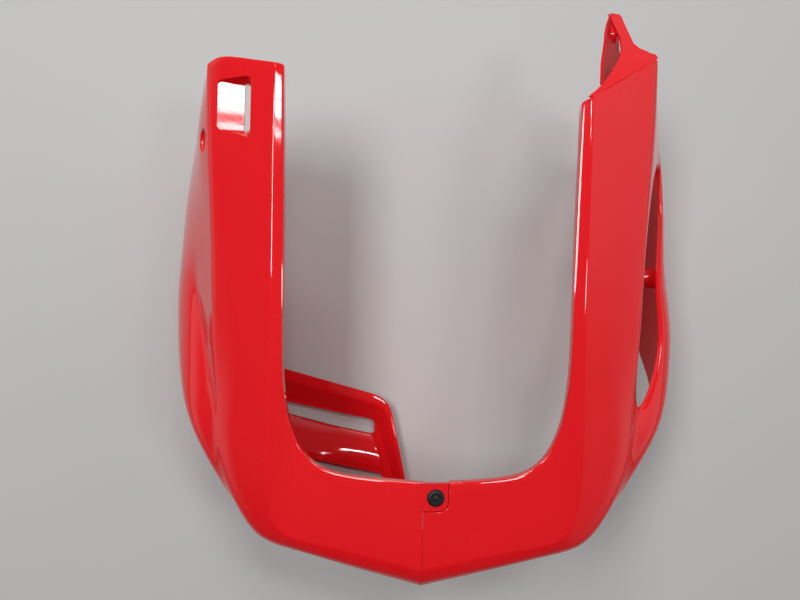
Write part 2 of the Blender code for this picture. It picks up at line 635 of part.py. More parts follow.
def make_rivet(mat):
    """Push rivet: domed body with split legs, and the pin that spreads them."""
    gap = CUT_GAP
    profile = [(RIVET_BORE, -RIVET_LENGTH), (RIVET_SHANK - 0.9, -RIVET_LENGTH),
               (RIVET_SHANK, -RIVET_LENGTH + 3), (RIVET_SHANK, 0), (RIVET_HEAD, 0)]
    profile += dome(RIVET_HEAD, RIVET_DOME, PIN_HEAD + 0.4)
    profile += [(PIN_HEAD + gap, RIVET_DOME - 1.3), (RIVET_BORE, RIVET_DOME - 1.3),
                (RIVET_BORE, -RIVET_LENGTH)]
    body = turned("push_rivet_body", profile, PARTS, mat)
    body.matrix_world = rivet_frame() @ Matrix.Translation((0, 0, gap * MM))
    for k in range(2):
        slit = block("leg_split", (-0.006, -0.0005, -0.02), (0.006, 0.0005, -0.0045))
        tool = add_cutter(f"leg_split_{k}", slit)
        tool.matrix_world = body.matrix_world @ Matrix.Rotation(math.pi / 2 * k, 4, "Z")
        combine(body, tool, "DIFFERENCE")
    stem = [(0, -RIVET_LENGTH + 0.5), (PIN_STEM - 0.7, -RIVET_LENGTH + 0.8), (PIN_STEM, -RIVET_LENGTH + 2.5),
            (PIN_STEM, RIVET_DOME - 1.3 + gap), (PIN_HEAD, RIVET_DOME - 1.3 + gap),
            (PIN_HEAD, RIVET_DOME - 0.2), (PIN_HEAD - 0.6, RIVET_DOME + 0.1), (0, RIVET_DOME + 0.3)]
    pin = turned("push_rivet_pin", stem, PARTS, mat)
    pin.matrix_world = body.matrix_world.copy()


def clear_scene():
    """Remove the objects of the open scene."""
    for thing in list(bpy.data.objects):
        bpy.data.objects.remove(thing, do_unlink=True)


def new_collection(name):
    """Collection under the scene."""
    collection = bpy.data.collections.new(name)
    bpy.context.scene.collection.children.link(collection)
    return collection


clear_scene()
PARTS = new_collection("belly_pan")
CUTTERS = new_collection("cutters")
RED_GLOSS = material("red_gloss", RED, 0.12, 1.0)
make_right_shell(RED_GLOSS)
make_left_shell(RED_GLOSS)
make_rivet(material("black_nylon", BLACK, 0.42))
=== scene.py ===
"""Looks of a glossy red motorbike belly pan: two moulded half shells and a black push rivet.

The shells follow the same guide lines as the solids, finely smoothed, with rounded edges.
Guide points are (x, y, depth below the front plane) on the +X half, in millimetres.
Profiles of turned solids are (radius, height) in millimetres. Lamps and camera are in metres.
"""
import math

import bmesh
import bpy
from mathutils import Matrix, Vector
from mathutils.bvhtree import BVHTree
from mathutils.geometry import barycentric_transform


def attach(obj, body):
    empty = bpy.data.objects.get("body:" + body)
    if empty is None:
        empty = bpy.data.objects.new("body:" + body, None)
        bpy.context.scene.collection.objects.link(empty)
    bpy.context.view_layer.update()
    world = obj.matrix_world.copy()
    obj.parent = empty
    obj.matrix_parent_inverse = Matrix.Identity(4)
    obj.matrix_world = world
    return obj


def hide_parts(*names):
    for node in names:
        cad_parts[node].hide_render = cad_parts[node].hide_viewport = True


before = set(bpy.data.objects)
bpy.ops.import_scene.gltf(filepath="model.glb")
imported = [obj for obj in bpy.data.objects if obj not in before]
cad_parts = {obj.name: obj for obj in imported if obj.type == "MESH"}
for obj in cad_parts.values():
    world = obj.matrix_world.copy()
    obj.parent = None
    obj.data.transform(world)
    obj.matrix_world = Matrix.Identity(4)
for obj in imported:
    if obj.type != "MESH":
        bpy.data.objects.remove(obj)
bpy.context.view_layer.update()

# Millimetres: the front plane's height over the floor, the guides' y at the frame's origin,
# the wall's thickness
MM = 0.001
FRONT = 250.0
Y_CENTRE = 6.8
WALL = 2.6
SMOOTHING = 3
CUT_GAP = 0.3
RIM_ROUNDING = 0.3
RIM_ANGLE = math.radians(55)
SEAM_WASTE = 40
SEAM_BOX = ((-0.4, -0.1), (0.4, 0.4))
PAN_MIDDLE = (60, -20, 60)

# Shading: the sharpest turn inside a smooth surface, and how near a face lies to the skin whose
# normals it borrows; the centre of a plate's many-cornered face may lie outside it
SKIN_TURN = math.radians(50)
PIECE_TURN = math.radians(32)
SKIN_REACH = 0.0004
PLATE_REACH = 0.02
PLATE_CORNERS = 9
CORNER_REACH = 0.00005
FACE_MATCH = 0.8
CORNER_MATCH = 0.7

# Guide lines of the half at +X, from the seam round the corner to the end of the arm
RIM = [
    (-2, -147, 1), (38, -145.5, 4.5), (67, -143.5, 8), (85, -139, 10.5), (99, -128, 11.5),
    (107.5, -111, 10.5), (112, -96, 9), (114.5, -80, 7.5), (116.5, -58, 5), (117, -20, 2.5),
    (117, 10, 2), (117.3, 40, 2), (118, 80, 2), (119, 120, 2), (119.5, 148, 2),
]
FIRST_CREASE = [
    (-2, -217, 2), (38, -208.5, 5), (69, -202, 9), (97.3, -199, 11.5), (118, -193.3, 12.5),
    (124.7, -176.5, 12), (127.3, -153.3, 10), (127.5, -122, 7.5), (127, -81, 4.5),
    (126.5, -25, 1.5), (126.7, 10, 0.5), (126.9, 40, 0), (127.3, 80, 0), (127.7, 120, 0),
    (127.8, 150, 0),
]
FACE_INNER = [
    (-2, -226, 4.5), (39, -217.5, 7.5), (71, -210.5, 11), (99.5, -205.5, 14.5), (123.5, -198.3, 16),
    (134, -181, 15.5), (140, -155.5, 13.5), (144, -120, 12), (144, -82, 9.5), (144, -25, 7.5),
    (145, 10, 7), (145.5, 40, 7), (146, 80, 7), (146.5, 120, 7), (147, 151, 7),
]
FACE_OUTER = [
    (-2, -233, 11), (40, -223.5, 13), (74, -216, 16), (103, -209, 19), (130, -202.3, 20.5),
    (143.5, -183.5, 19.5), (153.5, -156, 18), (161, -118, 17.5), (161, -83, 17), (162, -25, 15.5),
    (164, 10, 15), (165, 40, 15), (167, 80, 15), (169, 120, 15), (170.5, 153, 15),
]
OUTER_CREASE = [
    (-2, -237, 22), (40, -227, 23), (76, -218.5, 26), (106, -210.5, 27), (134.5, -205, 27),
    (150, -185.5, 25), (162.5, -156, 23), (171.5, -116.5, 24), (173.5, -84, 25), (178, -25, 23),
    (178.8, 10, 22.5), (179.8, 40, 22), (182, 80, 22), (184.5, 120, 22), (186, 153, 22),
]
CREST = [
    (-2, -236, 75), (40, -226, 76), (76, -218, 78), (106, -210, 80), (138, -206, 78),
    (156, -185, 66), (173, -159, 48), (197, -122, 43), (214, -88, 58), (231.5, -25, 108),
    (234.5, 10, 124), (235, 40, 136), (234.5, 80, 146), (229, 120, 148), (219, 153, 140),
]
REAR_EDGE = [
    (-2, -228, 250), (39, -219, 250), (74, -211, 250), (103, -204, 250), (133, -199, 250),
    (152, -180, 250), (171, -156, 250), (194, -118, 250), (213, -84, 250), (230, -27, 250),
    (233, 10, 250), (234, 40, 250), (234, 80, 250), (230, 120, 238), (220, 153, 204),
]

# Keel part of the next three lines, which both halves share
KEEL_FRONT = [
    (-2, -238, 33), (40, -228, 34), (76, -219.5, 38), (106, -211.5, 40), (136, -204.5, 38),
    (152.5, -183.5, 33), (166.5, -157, 28),
]
KEEL_MIDDLE = [
    (-2, -238, 43), (40, -228, 44), (76, -219.5, 48), (106, -211.5, 50), (137, -205.5, 48),
    (154.5, -184.5, 41), (169.5, -158.5, 33),
]
KEEL_BACK = [
    (-2, -237.5, 55), (40, -227.5, 56), (76, -219, 60), (106, -211, 62), (138, -206.5, 60),
    (156, -185.5, 50), (172.5, -159.5, 38),
]

# The right half has a closed groove between its flat side wall and its bulge
GROOVE_SHOULDER = KEEL_FRONT + [
    (175.5, -116.5, 26.5), (174.4, -84, 26.6), (181.5, -26, 33), (188.5, 10, 39), (190.5, 40, 42),
    (194.5, 80, 46), (199.5, 120, 48), (199.3, 153, 46),
]
GROOVE = KEEL_MIDDLE + [
    (179, -117, 28.5), (177.5, -84, 30), (190.5, -27, 51), (203.5, 10, 72), (204, 40, 68),
    (204.5, 80, 71), (206, 120, 72), (205, 153, 70),
]
BULGE = KEEL_BACK + [
    (189, -119, 31), (196.5, -87, 37), (207, -27, 58), (217, 10, 84), (218, 40, 98),
    (220.5, 80, 108), (217, 120, 108), (210.8, 153, 104),
]

# The left half has a long open vent there instead, with a drawn-in lip
VENT_FRONT = KEEL_FRONT + [
    (176.5, -118, 27), (178.5, -86, 35), (181.5, -25, 35), (184.5, 10, 40), (188, 40, 46),
    (196.5, 80, 60), (209, 126, 82), (203, 155, 64),
]
VENT_BACK = KEEL_MIDDLE + [
    (180, -117, 29), (190, -92, 38), (214.5, -38, 62), (211.5, 10, 74), (213.5, 40, 80),
    (219, 80, 91), (216, 130, 92), (209, 155, 82),
]
VENT_LIP = KEEL_BACK + [
    (189, -119, 33), (209, -90, 46), (227, -25, 80), (224, 10, 90), (224, 40, 100), (227, 80, 112),
    (223, 124, 112), (216, 153, 104),
]
LEFT_REAR_EDGE = [
    (-2, -233, 150), (40, -223, 151), (75, -215, 152), (105, -208, 152), (136, -204, 150),
    (154, -183.5, 142), (172.5, -158.5, 126), (199, -118, 108), (226, -84, 108), (240, -51, 222),
    (239, 10, 250), (240, 40, 250), (239, 80, 250), (233, 120, 238), (221, 153, 204),
]
VENT_ROWS = (8, 13)
VENT_COLUMN = 6
VENT_LIP_DRAW = ((-2, 0, 5), (-3.5, 0, 5))

# Ends of the arms, from the rim to the rear edge
RIGHT_END = [
    (119.9, 187.2, 2), (127.5, 188.4, 0), (148, 192.3, 7), (176, 199, 17), (188, 193, 24),
    (192.5, 190, 42), (199.5, 189, 66), (204.5, 187.5, 96), (208, 185, 130), (211, 178, 172),
]
LEFT_END = [
    (119.7, 162.3, 2), (127.6, 166.5, 0), (146, 178.3, 7), (167, 193.2, 14.6), (186.3, 206, 20.5),
    (194.5, 201, 50), (199, 198, 70), (204, 195, 96), (209, 190, 130), (211, 182, 172),
]
END_RETURN = 9.0
END_LEAN = 0.4
END_TURN_LINES = (4, 3)
END_CREASE = 0.85
END_CREASE_LINES = 9
RIM_RETURN = 9.0
INNER_END = ((2, -3, 0), (4, -2, 4))

# Side walls are pushed out by an amount, each guide line by a share of it: (line, share)
RIGHT_SWELL = (6.0, (7, 0.4), (8, 0.9), (9, 1), (10, 0.6))
LEFT_SWELL = (1.5, (9, 1), (10, 0.6))
SWELL_STRETCH = (-150, 70)

# Creases: (line, first station, last station or None for the arm's end, sharpness)
FACE_CREASES = [(1, 0, None, 0.94), (2, 0, None, 0.55)]
RIGHT_CREASES = FACE_CREASES + [(5, 7, 8, 0.3), (5, 8, None, 0.5), (7, 8, 11, 0.6)]
LEFT_CREASES = FACE_CREASES + [(5, 6, None, 0.45)]

# Pocket near the end of the right arm: a ramp that deepens towards a slit at its inner side.
# Its walls are (corners, growth, lift) and its space is (share of the depth, growth, lift)
POCKET_MOUTH = [(177.6, 124, -4), (145.4, 123, -4), (145.4, 181, -4), (177.6, 185.5, -4)]
POCKET_FLOOR = [(176.8, 138, 19.5), (150.8, 138, 25), (150.8, 175, 25), (176.8, 177, 19.5)]
POCKET_RADIUS = 4.0
POCKET_SPACE = [
    (0, 1.0, 2), (0.14, 0.7, 0), (0.2, 0.3, 0), (0.3, 0, 0), (0.9, 0, 0), (0.97, -0.3, 0),
    (1, -1.2, 0),
]
POCKET_BACK = [(178.4, 128, 20.8), (145, 126, 9.4), (145, 180.5, 9.4), (178.4, 184.5, 20.8)]
POCKET_WALLS = [(POCKET_BACK, 0, 0), (POCKET_FLOOR, 2.2, -1.4), (POCKET_FLOOR, 1.0, -2.2)]
SLIT = (151, 155.8, 136.5, 176)
SLIT_DEPTHS = (60, 20)

# Counterbored screw seat in the side wall of the right arm
SEAT_CENTRE = (194.6, 131.3, 38.0)
SEAT_RADIUS = 10.0
SEAT_SINK = 4.5
SCREW_RADIUS = 3.4
SIDE_FLARE = math.radians(31)

# Rear closing panel of the right half: a flange round a sloped tray with two louvre slots.
# A ring is (inset, fall, corner radius, inset at the top, inset at the side, first station, last)
PANEL_Z = 24.0
PANEL_WALL = 2.4
PANEL_CORNERS = [(222, -64), (32, -108.5), (4.5, -210)]
PANEL_RINGS = [
    (1.3, 0, 19, 0, 0, 0.19, 8.4), (6, 0, 15, 11, 5.4, 0.34, 8.05), (14, 12, 8, 30, 20, 0.66, 7.3),
]
PANEL_STATIONS = 33
PANEL_EDGE_PARTS = 8
TRAY_DROP = 12.0
FOLD_RADIUS = 1.0
SLOT_UPPER = [
    (-176, -111.5), (-148, -116), (-48, -134.5), (-48, -150.5), (-89, -142.9), (-146.5, -129.4),
    (-176, -122.5),
]
SLOT_LOWER = [(-137, -176.2), (-37, -195.1), (-38, -207.5), (-137, -187.5)]
SLOT_ROUNDING = 5.0
SLOT_LEVELS = ((-10, 0), (-1.0, 0), (-0.3, 0.2), (0, 0.7), (8, 0.7))
BLADE = [(-175, -121), (-48.5, -147), (-37, -187.3), (-155, -164.2)]
BLADE_FOOT = [(-175, -121), (-48.5, -147), (-37, -195.6), (-155, -173.3)]
BLADE_RISE = 4.0
BLADE_ROUNDING = 0.6

# Lap tab of the right half over the left half, held by the push rivet. A level of the tab, its
# room or the ear's plate is (depth under the face, growth)
TAB_REACH = 20.0
TAB_TOP = -146.6
TAB_BOTTOM = -169.3
TAB_RADIUS = 8.0
TAB_WALL = 2.0
TAB_DEPTH = 1.35
TAB_FALL = 0.098
TAB_CLEARANCE = 0.6
TAB_LEVELS = ((TAB_WALL, 0), (0.55, 0), (0.16, -0.16), (0, -0.55))
TAB_ROOT = -2.5
JOGGLE_WALL = 2.4
JOGGLE_REACH = 3.5
RIVET = (9.9, -158.2)
RIVET_HOLE = 3.6
RIVET_HEAD = 7.0
RIVET_DOME = 2.4
DOME_EDGE = 0.6
RIVET_FLOOR = RIVET_DOME - 1.3
RIVET_SHANK = 3.2
RIVET_LENGTH = 12.0
RIVET_BORE = 1.9
PIN_HEAD = 3.4
PIN_STEM = 1.6
PIN_TOP = RIVET_DOME + 0.3
LEG_GAP = ((-0.006, -0.0005, -0.02), (0.006, 0.0005, -0.0045))

# Mounting ear on the slanted end of the left arm: (along the end edge, away from it)
EAR_ORIGIN = (125.4, 165.6, 0.8)
EAR_END = (187.2, 206.6, 21.6)
EAR_FALL = 0.4
EAR_OUTLINE = [
    (0.6, 1.7), (2.9, 2.3), (8.7, 2.9), (17.2, 4.9), (27.3, 8.2), (40.7, 14.6), (46.7, 17.9),
    (53.1, 23.3), (59.1, 32.5), (62.2, 42.5), (65.5, 52.4), (66.3, 56), (73.9, 51.4), (74.7, 48.4),
    (70.9, 38.5), (68.1, 29.9), (65.3, 21.7), (66.2, 15.4), (69.7, 9.7), (70.9, 6.7), (73.2, 4.4),
    (73.7, 2.3), (73.3, 0.6), (72.6, -0.6), (40, -0.6), (2.5, -0.6),
]
EAR_WALL = 2.4
EAR_LEVELS = ((0, -0.5), (0.15, -0.15), (0.5, 0), (EAR_WALL * 1.1, 0))
EAR_FLANGE = [
    ((136.5, 180, 9), (150, 180, 42)), ((138.8, 199, 17), (158, 199, 50)),
    ((143.3, 220, 26), (163, 220, 56)), ((147.2, 238, 35), (163, 238, 60)),
    ((152.6, 250, 43), (160, 249, 57)), ((159.5, 248.5, 43.5), (161.5, 247, 50)),
]
EAR_HOLE = (149.5, 233.0, 46.0)
EAR_BOSS_RADIUS = 8.0
EAR_BOSS_LENGTH = 8.0

# Screw boss on the inside of the left half's skin, seen through the vent
VENT_BOSS = (210.5, 26, 107)
VENT_BOSS_RADIUS = 9.5
VENT_BOSS_LENGTH = 24.0
VENT_BOSS_SLANT = 0.34
VENT_BOSS_SINK = 2.0

# Room: the floor's colour, the strength of its walls and ceiling, and where they change over
FLOOR_COLOUR = (0.56, 0.56, 0.555)
CEILING = 0.12
WALLS = 0.8
WALL_TOP = (0.5, 0.15)
FRONT_SHARE = 0.12
FRONT_EDGE = (-0.7, -0.2)
RIGHT_WALL = 0.75
RIGHT_EDGE = (0.5, 0.72)
RIGHT_FADE = 0.25
RIGHT_FADE_EDGE = (-0.25, 0.25)
BACKDROP = 0.75

# Softboxes: (name, place, aim, width, height, power)
LAMPS = [("left_lamp", (-0.57, 0.33, 2.0), (-0.57, 0.33, 0), 0.42, 0.66, 18.0),
         ("small_lamp", (0.26, 0.65, 2.0), (0.26, 0.65, 0), 0.46, 0.155, 7.5),
         ("strip_lamp", (0.26, 0.528, 2.0), (0.26, 0.528, 0), 0.46, 0.018, 0.9),
         ("side_lamp", (0.75, -0.015, 2.0), (0.75, -0.015, 0), 0.30, 0.22, 3.6),
         ("back_lamp", (-0.2, 1.5, 1.8), (0, 0, 0.2), 0.6, 0.3, 8.0)]

# Camera: its place above the photo's centre, and how the picture is turned
CAMERA_PLACE = (-0.0226, -Y_CENTRE * MM, 0.850)
CAMERA_TURN = math.radians(1.4)
LENS = 33.75
SENSOR = 36

# Finish: dust and wiping marks on every moulded surface
DRIFT_SCALE = 7.0
DUST_SCALE = 620.0
DUST_COLOUR = (0.62, 0.5, 0.48, 1)
WIPED_ROUGHNESS = (0.85, 1.2)

# Inputs and output of a mix node, by what it mixes
MIX_SOCKETS = {"FLOAT": (2, 3, 0), "RGBA": (6, 7, 2)}


def place(x, y, depth, side=1):
    """World place of a guide point, on the +X half or mirrored."""
    return Vector((side * x, y - Y_CENTRE, FRONT - depth)) * MM


def between(a, b, t):
    """Point a part of the way from one guide point to the next."""
    return tuple(p + (q - p) * t for p, q in zip(a, b))


def share_along(value, start, length):
    """How far a value is along a stretch, from 0 to 1."""
    return min(1, max(0, (value - start) / length))


def mesh_of(bm, name):
    """Mesh of a finished bmesh, which is freed."""
    mesh = bpy.data.meshes.new(name)
    bm.to_mesh(mesh)
    bm.free()
    return mesh


def add_object(name, mesh, materials=()):
    """Object of a mesh, with its materials."""
    thing = bpy.data.objects.new(name, mesh)
    bpy.context.scene.collection.objects.link(thing)
    for mat in materials:
        mesh.materials.append(mat)
    return thing


def drop(thing):
    """Remove a working object and its mesh."""
    mesh = thing.data
    bpy.data.objects.remove(thing, do_unlink=True)
    bpy.data.meshes.remove(mesh)


def settled_mesh(thing, name):
    """Plain mesh of an object with its modifiers and place applied."""
    bpy.context.view_layer.update()
    depsgraph = bpy.context.evaluated_depsgraph_get()
    mesh = bpy.data.meshes.new_from_object(thing.evaluated_get(depsgraph), depsgraph=depsgraph)
    mesh.transform(thing.matrix_world)
    mesh.name = name
    return mesh


class Working:
    """A piece in the making: a base mesh and the tools that are joined to it or cut from it."""

    def __init__(self, name, mesh, materials=()):
        self.name = name
        self.base = add_object(name + "_base", mesh, materials)
        self.tools = []
        self.skins = [mesh]

    def combine(self, mesh, operation, matrix=None):
        """Add a Boolean step with a closed mesh as its tool."""
        tool = add_object(f"{self.name}_tool_{len(self.tools)}", mesh)
        tool.hide_render = True
        if matrix:
            tool.matrix_world = matrix
        step = self.base.modifiers.new(tool.name, "BOOLEAN")
        step.operation = operation
        step.solver = "MANIFOLD"
        step.object = tool
        self.tools.append(tool)

    def join(self, mesh, matrix=None):
        """Join a closed mesh to the piece."""
        self.combine(mesh, "UNION", matrix)

    def cut(self, mesh, matrix=None):
        """Cut a closed mesh away from the piece."""
        self.combine(mesh, "DIFFERENCE", matrix)

    def finish(self):
        """Finished piece at the origin, shaded by its smooth skins where they are left."""
        mesh = settled_mesh(self.base, self.name)
        piece = add_object(self.name, mesh)
        mesh.shade_smooth()
        mesh.set_sharp_from_angle(angle=PIECE_TURN)
        borrow_normals(mesh, self.skins)
        for thing in [self.base] + self.tools:
            drop(thing)
        return piece


def broad_normals(mesh):
    """Corner normals that lean to the broad faces, so that a narrow rim doesn't bend them."""
    level = math.cos(SKIN_TURN)
    faces = [(face.normal.copy(), face.area) for face in mesh.polygons]
    around = [[] for _ in mesh.vertices]
    for face in mesh.polygons:
        for vert in face.vertices:
            around[vert].append(face.index)
    result = []
    for face in mesh.polygons:
        here = faces[face.index][0]
        for vert in face.vertices:
            near = (faces[k] for k in around[vert])
            leaning = (n * area for n, area in near if n.dot(here) > level)
            result.append(sum(leaning, Vector()).normalized())
    return result


def skin_normals(mesh):
    """Search tree, corners and corner normals of a smooth skin's triangles."""
    own = mesh.has_custom_normals
    mesh.shade_smooth()
    mesh.set_sharp_from_angle(angle=SKIN_TURN)
    normals = [n.vector.copy() for n in mesh.corner_normals] if own else broad_normals(mesh)
    mesh.calc_loop_triangles()
    points = [v.co.copy() for v in mesh.vertices]
    tris = [tuple(t.vertices) for t in mesh.loop_triangles]
    loops = [tuple(t.loops) for t in mesh.loop_triangles]
    return BVHTree.FromPolygons(points, tris), points, tris, loops, normals


def borrow_normals(mesh, skins):
    """Give the faces that still lie on a smooth skin its normals, so that cuts leave no dents."""
    sources = [skin_normals(skin) for skin in skins]
    corner = [n.vector.copy() for n in mesh.corner_normals]
    for face in mesh.polygons:
        flat = face.normal
        reach = SKIN_REACH if len(face.vertices) < PLATE_CORNERS else PLATE_REACH
        for tree, points, tris, loops, normals in sources:
            index = tree.find_nearest(face.center, reach)[2]
            if index is None:
                continue
            source = sum((normals[k] for k in loops[index]), Vector())
            if source.normalized().dot(flat) < FACE_MATCH:
                continue
            for loop in face.loop_indices:
                at = mesh.vertices[mesh.loops[loop].vertex_index].co
                spot, _, near, _ = tree.find_nearest(at, CORNER_REACH)
                if near is None:
                    continue
                blend = barycentric_transform(spot, *(points[k] for k in tris[near]),
                                              *(normals[k] for k in loops[near])).normalized()
                if blend.dot(flat) > CORNER_MATCH:
                    corner[loop] = blend
            break
    mesh.normals_split_custom_set(corner)


def cage_mesh(name, columns, creases, side, hole=None, lip=None):
    """Quad sheet through guide lines, with creased lines and an optional lipped opening.

    The edge at the arm's end is creased too.
    """
    bm = bmesh.new()
    grid = [[bm.verts.new(place(*point, side)) for point in column] for column in columns]
    rows = len(columns[0])
    for j in range(len(columns) - 1):
        for i in range(rows - 1):
            if hole and j == hole[0] and hole[1] <= i < hole[2]:
                continue
            corners = [grid[j][i], grid[j + 1][i], grid[j + 1][i + 1], grid[j][i + 1]]
            bm.faces.new(corners if side > 0 else corners[::-1])
    weight = bm.edges.layers.float.new("crease_edge")
    end = rows - 2
    for j, first, last, value in creases:
        for i in range(first, last or end):
            bm.edges.get((grid[j][i], grid[j][i + 1]))[weight] = value
    for j in range(END_CREASE_LINES):
        bm.edges.get((grid[j][end], grid[j + 1][end]))[weight] = END_CREASE
    if hole:
        draw_in_lip(bm, grid, hole, lip, side)
    bmesh.ops.recalc_face_normals(bm, faces=bm.faces)
    turn_faces_out(bm, side)
    return mesh_of(bm, name)


def turn_faces_out(bm, side):
    """Make the sheet's faces look away from the inside of the pan."""
    x, y, z = PAN_MIDDLE
    inside = Vector((side * x, y, z)) * MM
    score = sum(f.normal.dot(f.calc_center_median() - inside) * f.calc_area() for f in bm.faces)
    if score < 0:
        bmesh.ops.reverse_faces(bm, faces=bm.faces)


def draw_in_lip(bm, grid, hole, lip, side):
    """Draw the edge of an opening in, away from the outer skin."""
    column, first, last = hole
    front = [grid[column][i] for i in range(first, last + 1)]
    back = [grid[column + 1][i] for i in range(first, last + 1)]
    loop = front + back[::-1]
    falls = [lip[0]] * len(front) + [lip[1]] * len(back)
    moved = [bm.verts.new(vert.co + Vector((side * x, y, -depth)) * MM)
             for vert, (x, y, depth) in zip(loop, falls)]
    for k in range(len(loop)):
        bm.faces.new([loop[k - 1], loop[k], moved[k], moved[k - 1]])


def half_columns(shoulder, groove, bulge, rear, end):
    """Guide lines of one half, from the inner return to the rear edge, with the end of its arm."""
    lines = [RIM, FIRST_CREASE, FACE_INNER, FACE_OUTER, OUTER_CREASE, shoulder, groove, bulge,
             CREST]
    lines = [line + [final] for line, final in zip(lines, end)]
    rear = rear + [end[-1]]
    lower = [between(a, b, 0.5) for a, b in zip(lines[-1], rear)]
    inner = [(x, y, depth + RIM_RETURN) for x, y, depth in lines[0]]
    columns = [inner] + lines + [lower, rear]
    for j, column in enumerate(columns):
        x, y, depth = column[-1]
        turn = math.pi / 2 * share_along(j, *END_TURN_LINES)
        column.append((x - END_RETURN * math.sin(turn), y + END_LEAN,
                       depth + END_RETURN * math.cos(turn)))
    tip = inner[-1]
    columns[0] = inner[:-2] + [tuple(p + q for p, q in zip(tip, step)) for step in INNER_END]
    return columns


def swell(columns, amount, *shares):
    """Push guide lines of a side wall out, each by its share of an amount, away from the keel."""
    for j, share in shares:
        for i, (x, y, depth) in enumerate(columns[j]):
            columns[j][i] = (x + amount * share * share_along(y, *SWELL_STRETCH), y, depth)


def moulded_wall(name, cage, thickness, materials, levels=SMOOTHING):
    """Smooth wall of an open cage, thickened inwards, with rounded rims."""
    thing = add_object(name, cage, materials)
    if levels:
        smooth = thing.modifiers.new("smooth", "SUBSURF")
        smooth.levels = levels
        smooth.render_levels = levels
        smooth.boundary_smooth = "PRESERVE_CORNERS"
    skin = thing.modifiers.new("wall", "SOLIDIFY")
    skin.thickness = thickness * MM
    skin.offset = -1
    skin.use_even_offset = True
    # The inner side takes the second material, whose darker base colour is painted shade
    skin.material_offset = 1
    rims = thing.modifiers.new("rims", "BEVEL")
    rims.width = RIM_ROUNDING * MM
    rims.segments = 2
    rims.harden_normals = not levels
    rims.limit_method = "ANGLE"
    rims.angle_limit = RIM_ANGLE
    mesh = settled_mesh(thing, name)
    drop(thing)
    return mesh


def lofted(name, rings):
    """Closed solid through rings of equally many points."""
    bm = bmesh.new()
    loops = [[bm.verts.new(p) for p in ring] for ring in rings]
    for a, b in zip(loops, loops[1:]):
        for k in range(len(a)):
            bm.faces.new([a[k - 1], a[k], b[k], b[k - 1]])
    bm.faces.new(loops[0])
    bm.faces.new(loops[-1])
    bmesh.ops.recalc_face_normals(bm, faces=bm.faces)
    return mesh_of(bm, name)


def rounded_outline(points, radius, steps=6):
    """Closed outline in which the chosen corners become arcs; points are (x, y, rounded)."""
    outline = []
    for k, (x, y, rounded) in enumerate(points):
        corner = Vector((x, y))
        if not rounded:
            outline.append(corner)
            continue
        before = Vector(points[k - 1][:2])
        after = Vector(points[(k + 1) % len(points)][:2])
        start = corner + (before - corner).normalized() * radius
        end = corner + (after - corner).normalized() * radius
        for n in range(steps + 1):
            t = n / steps
            outline.append(start * (1 - t) ** 2 + corner * 2 * t * (1 - t) + end * t ** 2)
    return outline


def grown(outline, amount):
    """Flat closed outline moved outwards by an amount, point by point."""
    area = sum(a.x * b.y - b.x * a.y for a, b in zip(outline, outline[1:] + outline[:1]))
    turn = 1 if area > 0 else -1
    result = []
    for k, here in enumerate(outline):
        back = (here - outline[k - 1]).normalized()
        ahead = (outline[(k + 1) % len(outline)] - here).normalized()
        way = (back + ahead).normalized()
        out = Vector((way.y, -way.x)) * turn
        spread = max(0.5, out.dot(Vector((ahead.y, -ahead.x)) * turn))
        result.append(here + out * (amount / spread))
    return result


def hull_mesh(name, points, rounding):
    """Convex block through its corners, with rounded edges."""
    bm = bmesh.new()
    verts = [bm.verts.new(p) for p in points]
    bmesh.ops.convex_hull(bm, input=verts)
    bmesh.ops.dissolve_limit(bm, angle_limit=math.radians(2), verts=bm.verts, edges=bm.edges)
    bmesh.ops.bevel(bm, geom=bm.edges[:], offset=rounding * MM, segments=3, profile=0.5,
                    affect="EDGES", clamp_overlap=True)
    bmesh.ops.recalc_face_normals(bm, faces=bm.faces)
    return mesh_of(bm, name)


def flat_skin(ring):
    """Flat face through a ring, facing up: it lends its shading to the same face of a piece."""
    bm = bmesh.new()
    face = bm.faces.new([bm.verts.new(p) for p in ring])
    face.normal_update()
    if face.normal.z < 0:
        face.normal_flip()
    return mesh_of(bm, "flat_skin")


def rough_and_shaded(mesh):
    """The same mesh with the inside material: rougher and duller, and darker in colour as painted
    shade.
    """
    for face in mesh.polygons:
        face.material_index = 1
    return mesh


def block(name, low, high):
    """Straight box between two corners in metres."""
    bm = bmesh.new()
    bmesh.ops.create_cube(bm, size=1)
    centre = (Vector(low) + Vector(high)) / 2
    size = Vector(high) - Vector(low)
    fit = Matrix.Translation(centre) @ Matrix.Diagonal((*size, 1))
    bmesh.ops.transform(bm, matrix=fit, verts=bm.verts)
    return mesh_of(bm, name)


def turned(name, profile, sides=64):
    """Solid turned about Z from a profile that starts and ends on it, or is a closed ring."""
    bm = bmesh.new()
    angles = [2 * math.pi * k / sides for k in range(sides)]
    rings = []
    for r, z in profile:
        if not r:
            rings.append([bm.verts.new((0, 0, z * MM))])
            continue
        rings.append([bm.verts.new((r * MM * math.cos(a), r * MM * math.sin(a), z * MM))
                      for a in angles])
    pairs = list(zip(rings, rings[1:]))
    if len(rings[0]) > 1:
        pairs.append((rings[-1], rings[0]))
    for a, b in pairs:
        for k in range(sides):
            corners = [a[k - 1 if len(a) > 1 else 0], a[k if len(a) > 1 else 0],
                       b[k if len(b) > 1 else 0], b[k - 1 if len(b) > 1 else 0]]
            bm.faces.new(list(dict.fromkeys(corners)))
    bmesh.ops.recalc_face_normals(bm, faces=bm.faces)
    return mesh_of(bm, name)


def seam_cut(side):
    """Box that trims a half's joint face flat, a hair from the seam plane."""
    edge = CUT_GAP / 2 * MM * side
    far = -SEAM_WASTE * MM * side
    low, high = SEAM_BOX
    return block("seam", (min(edge, far), *low), (max(edge, far), *high))


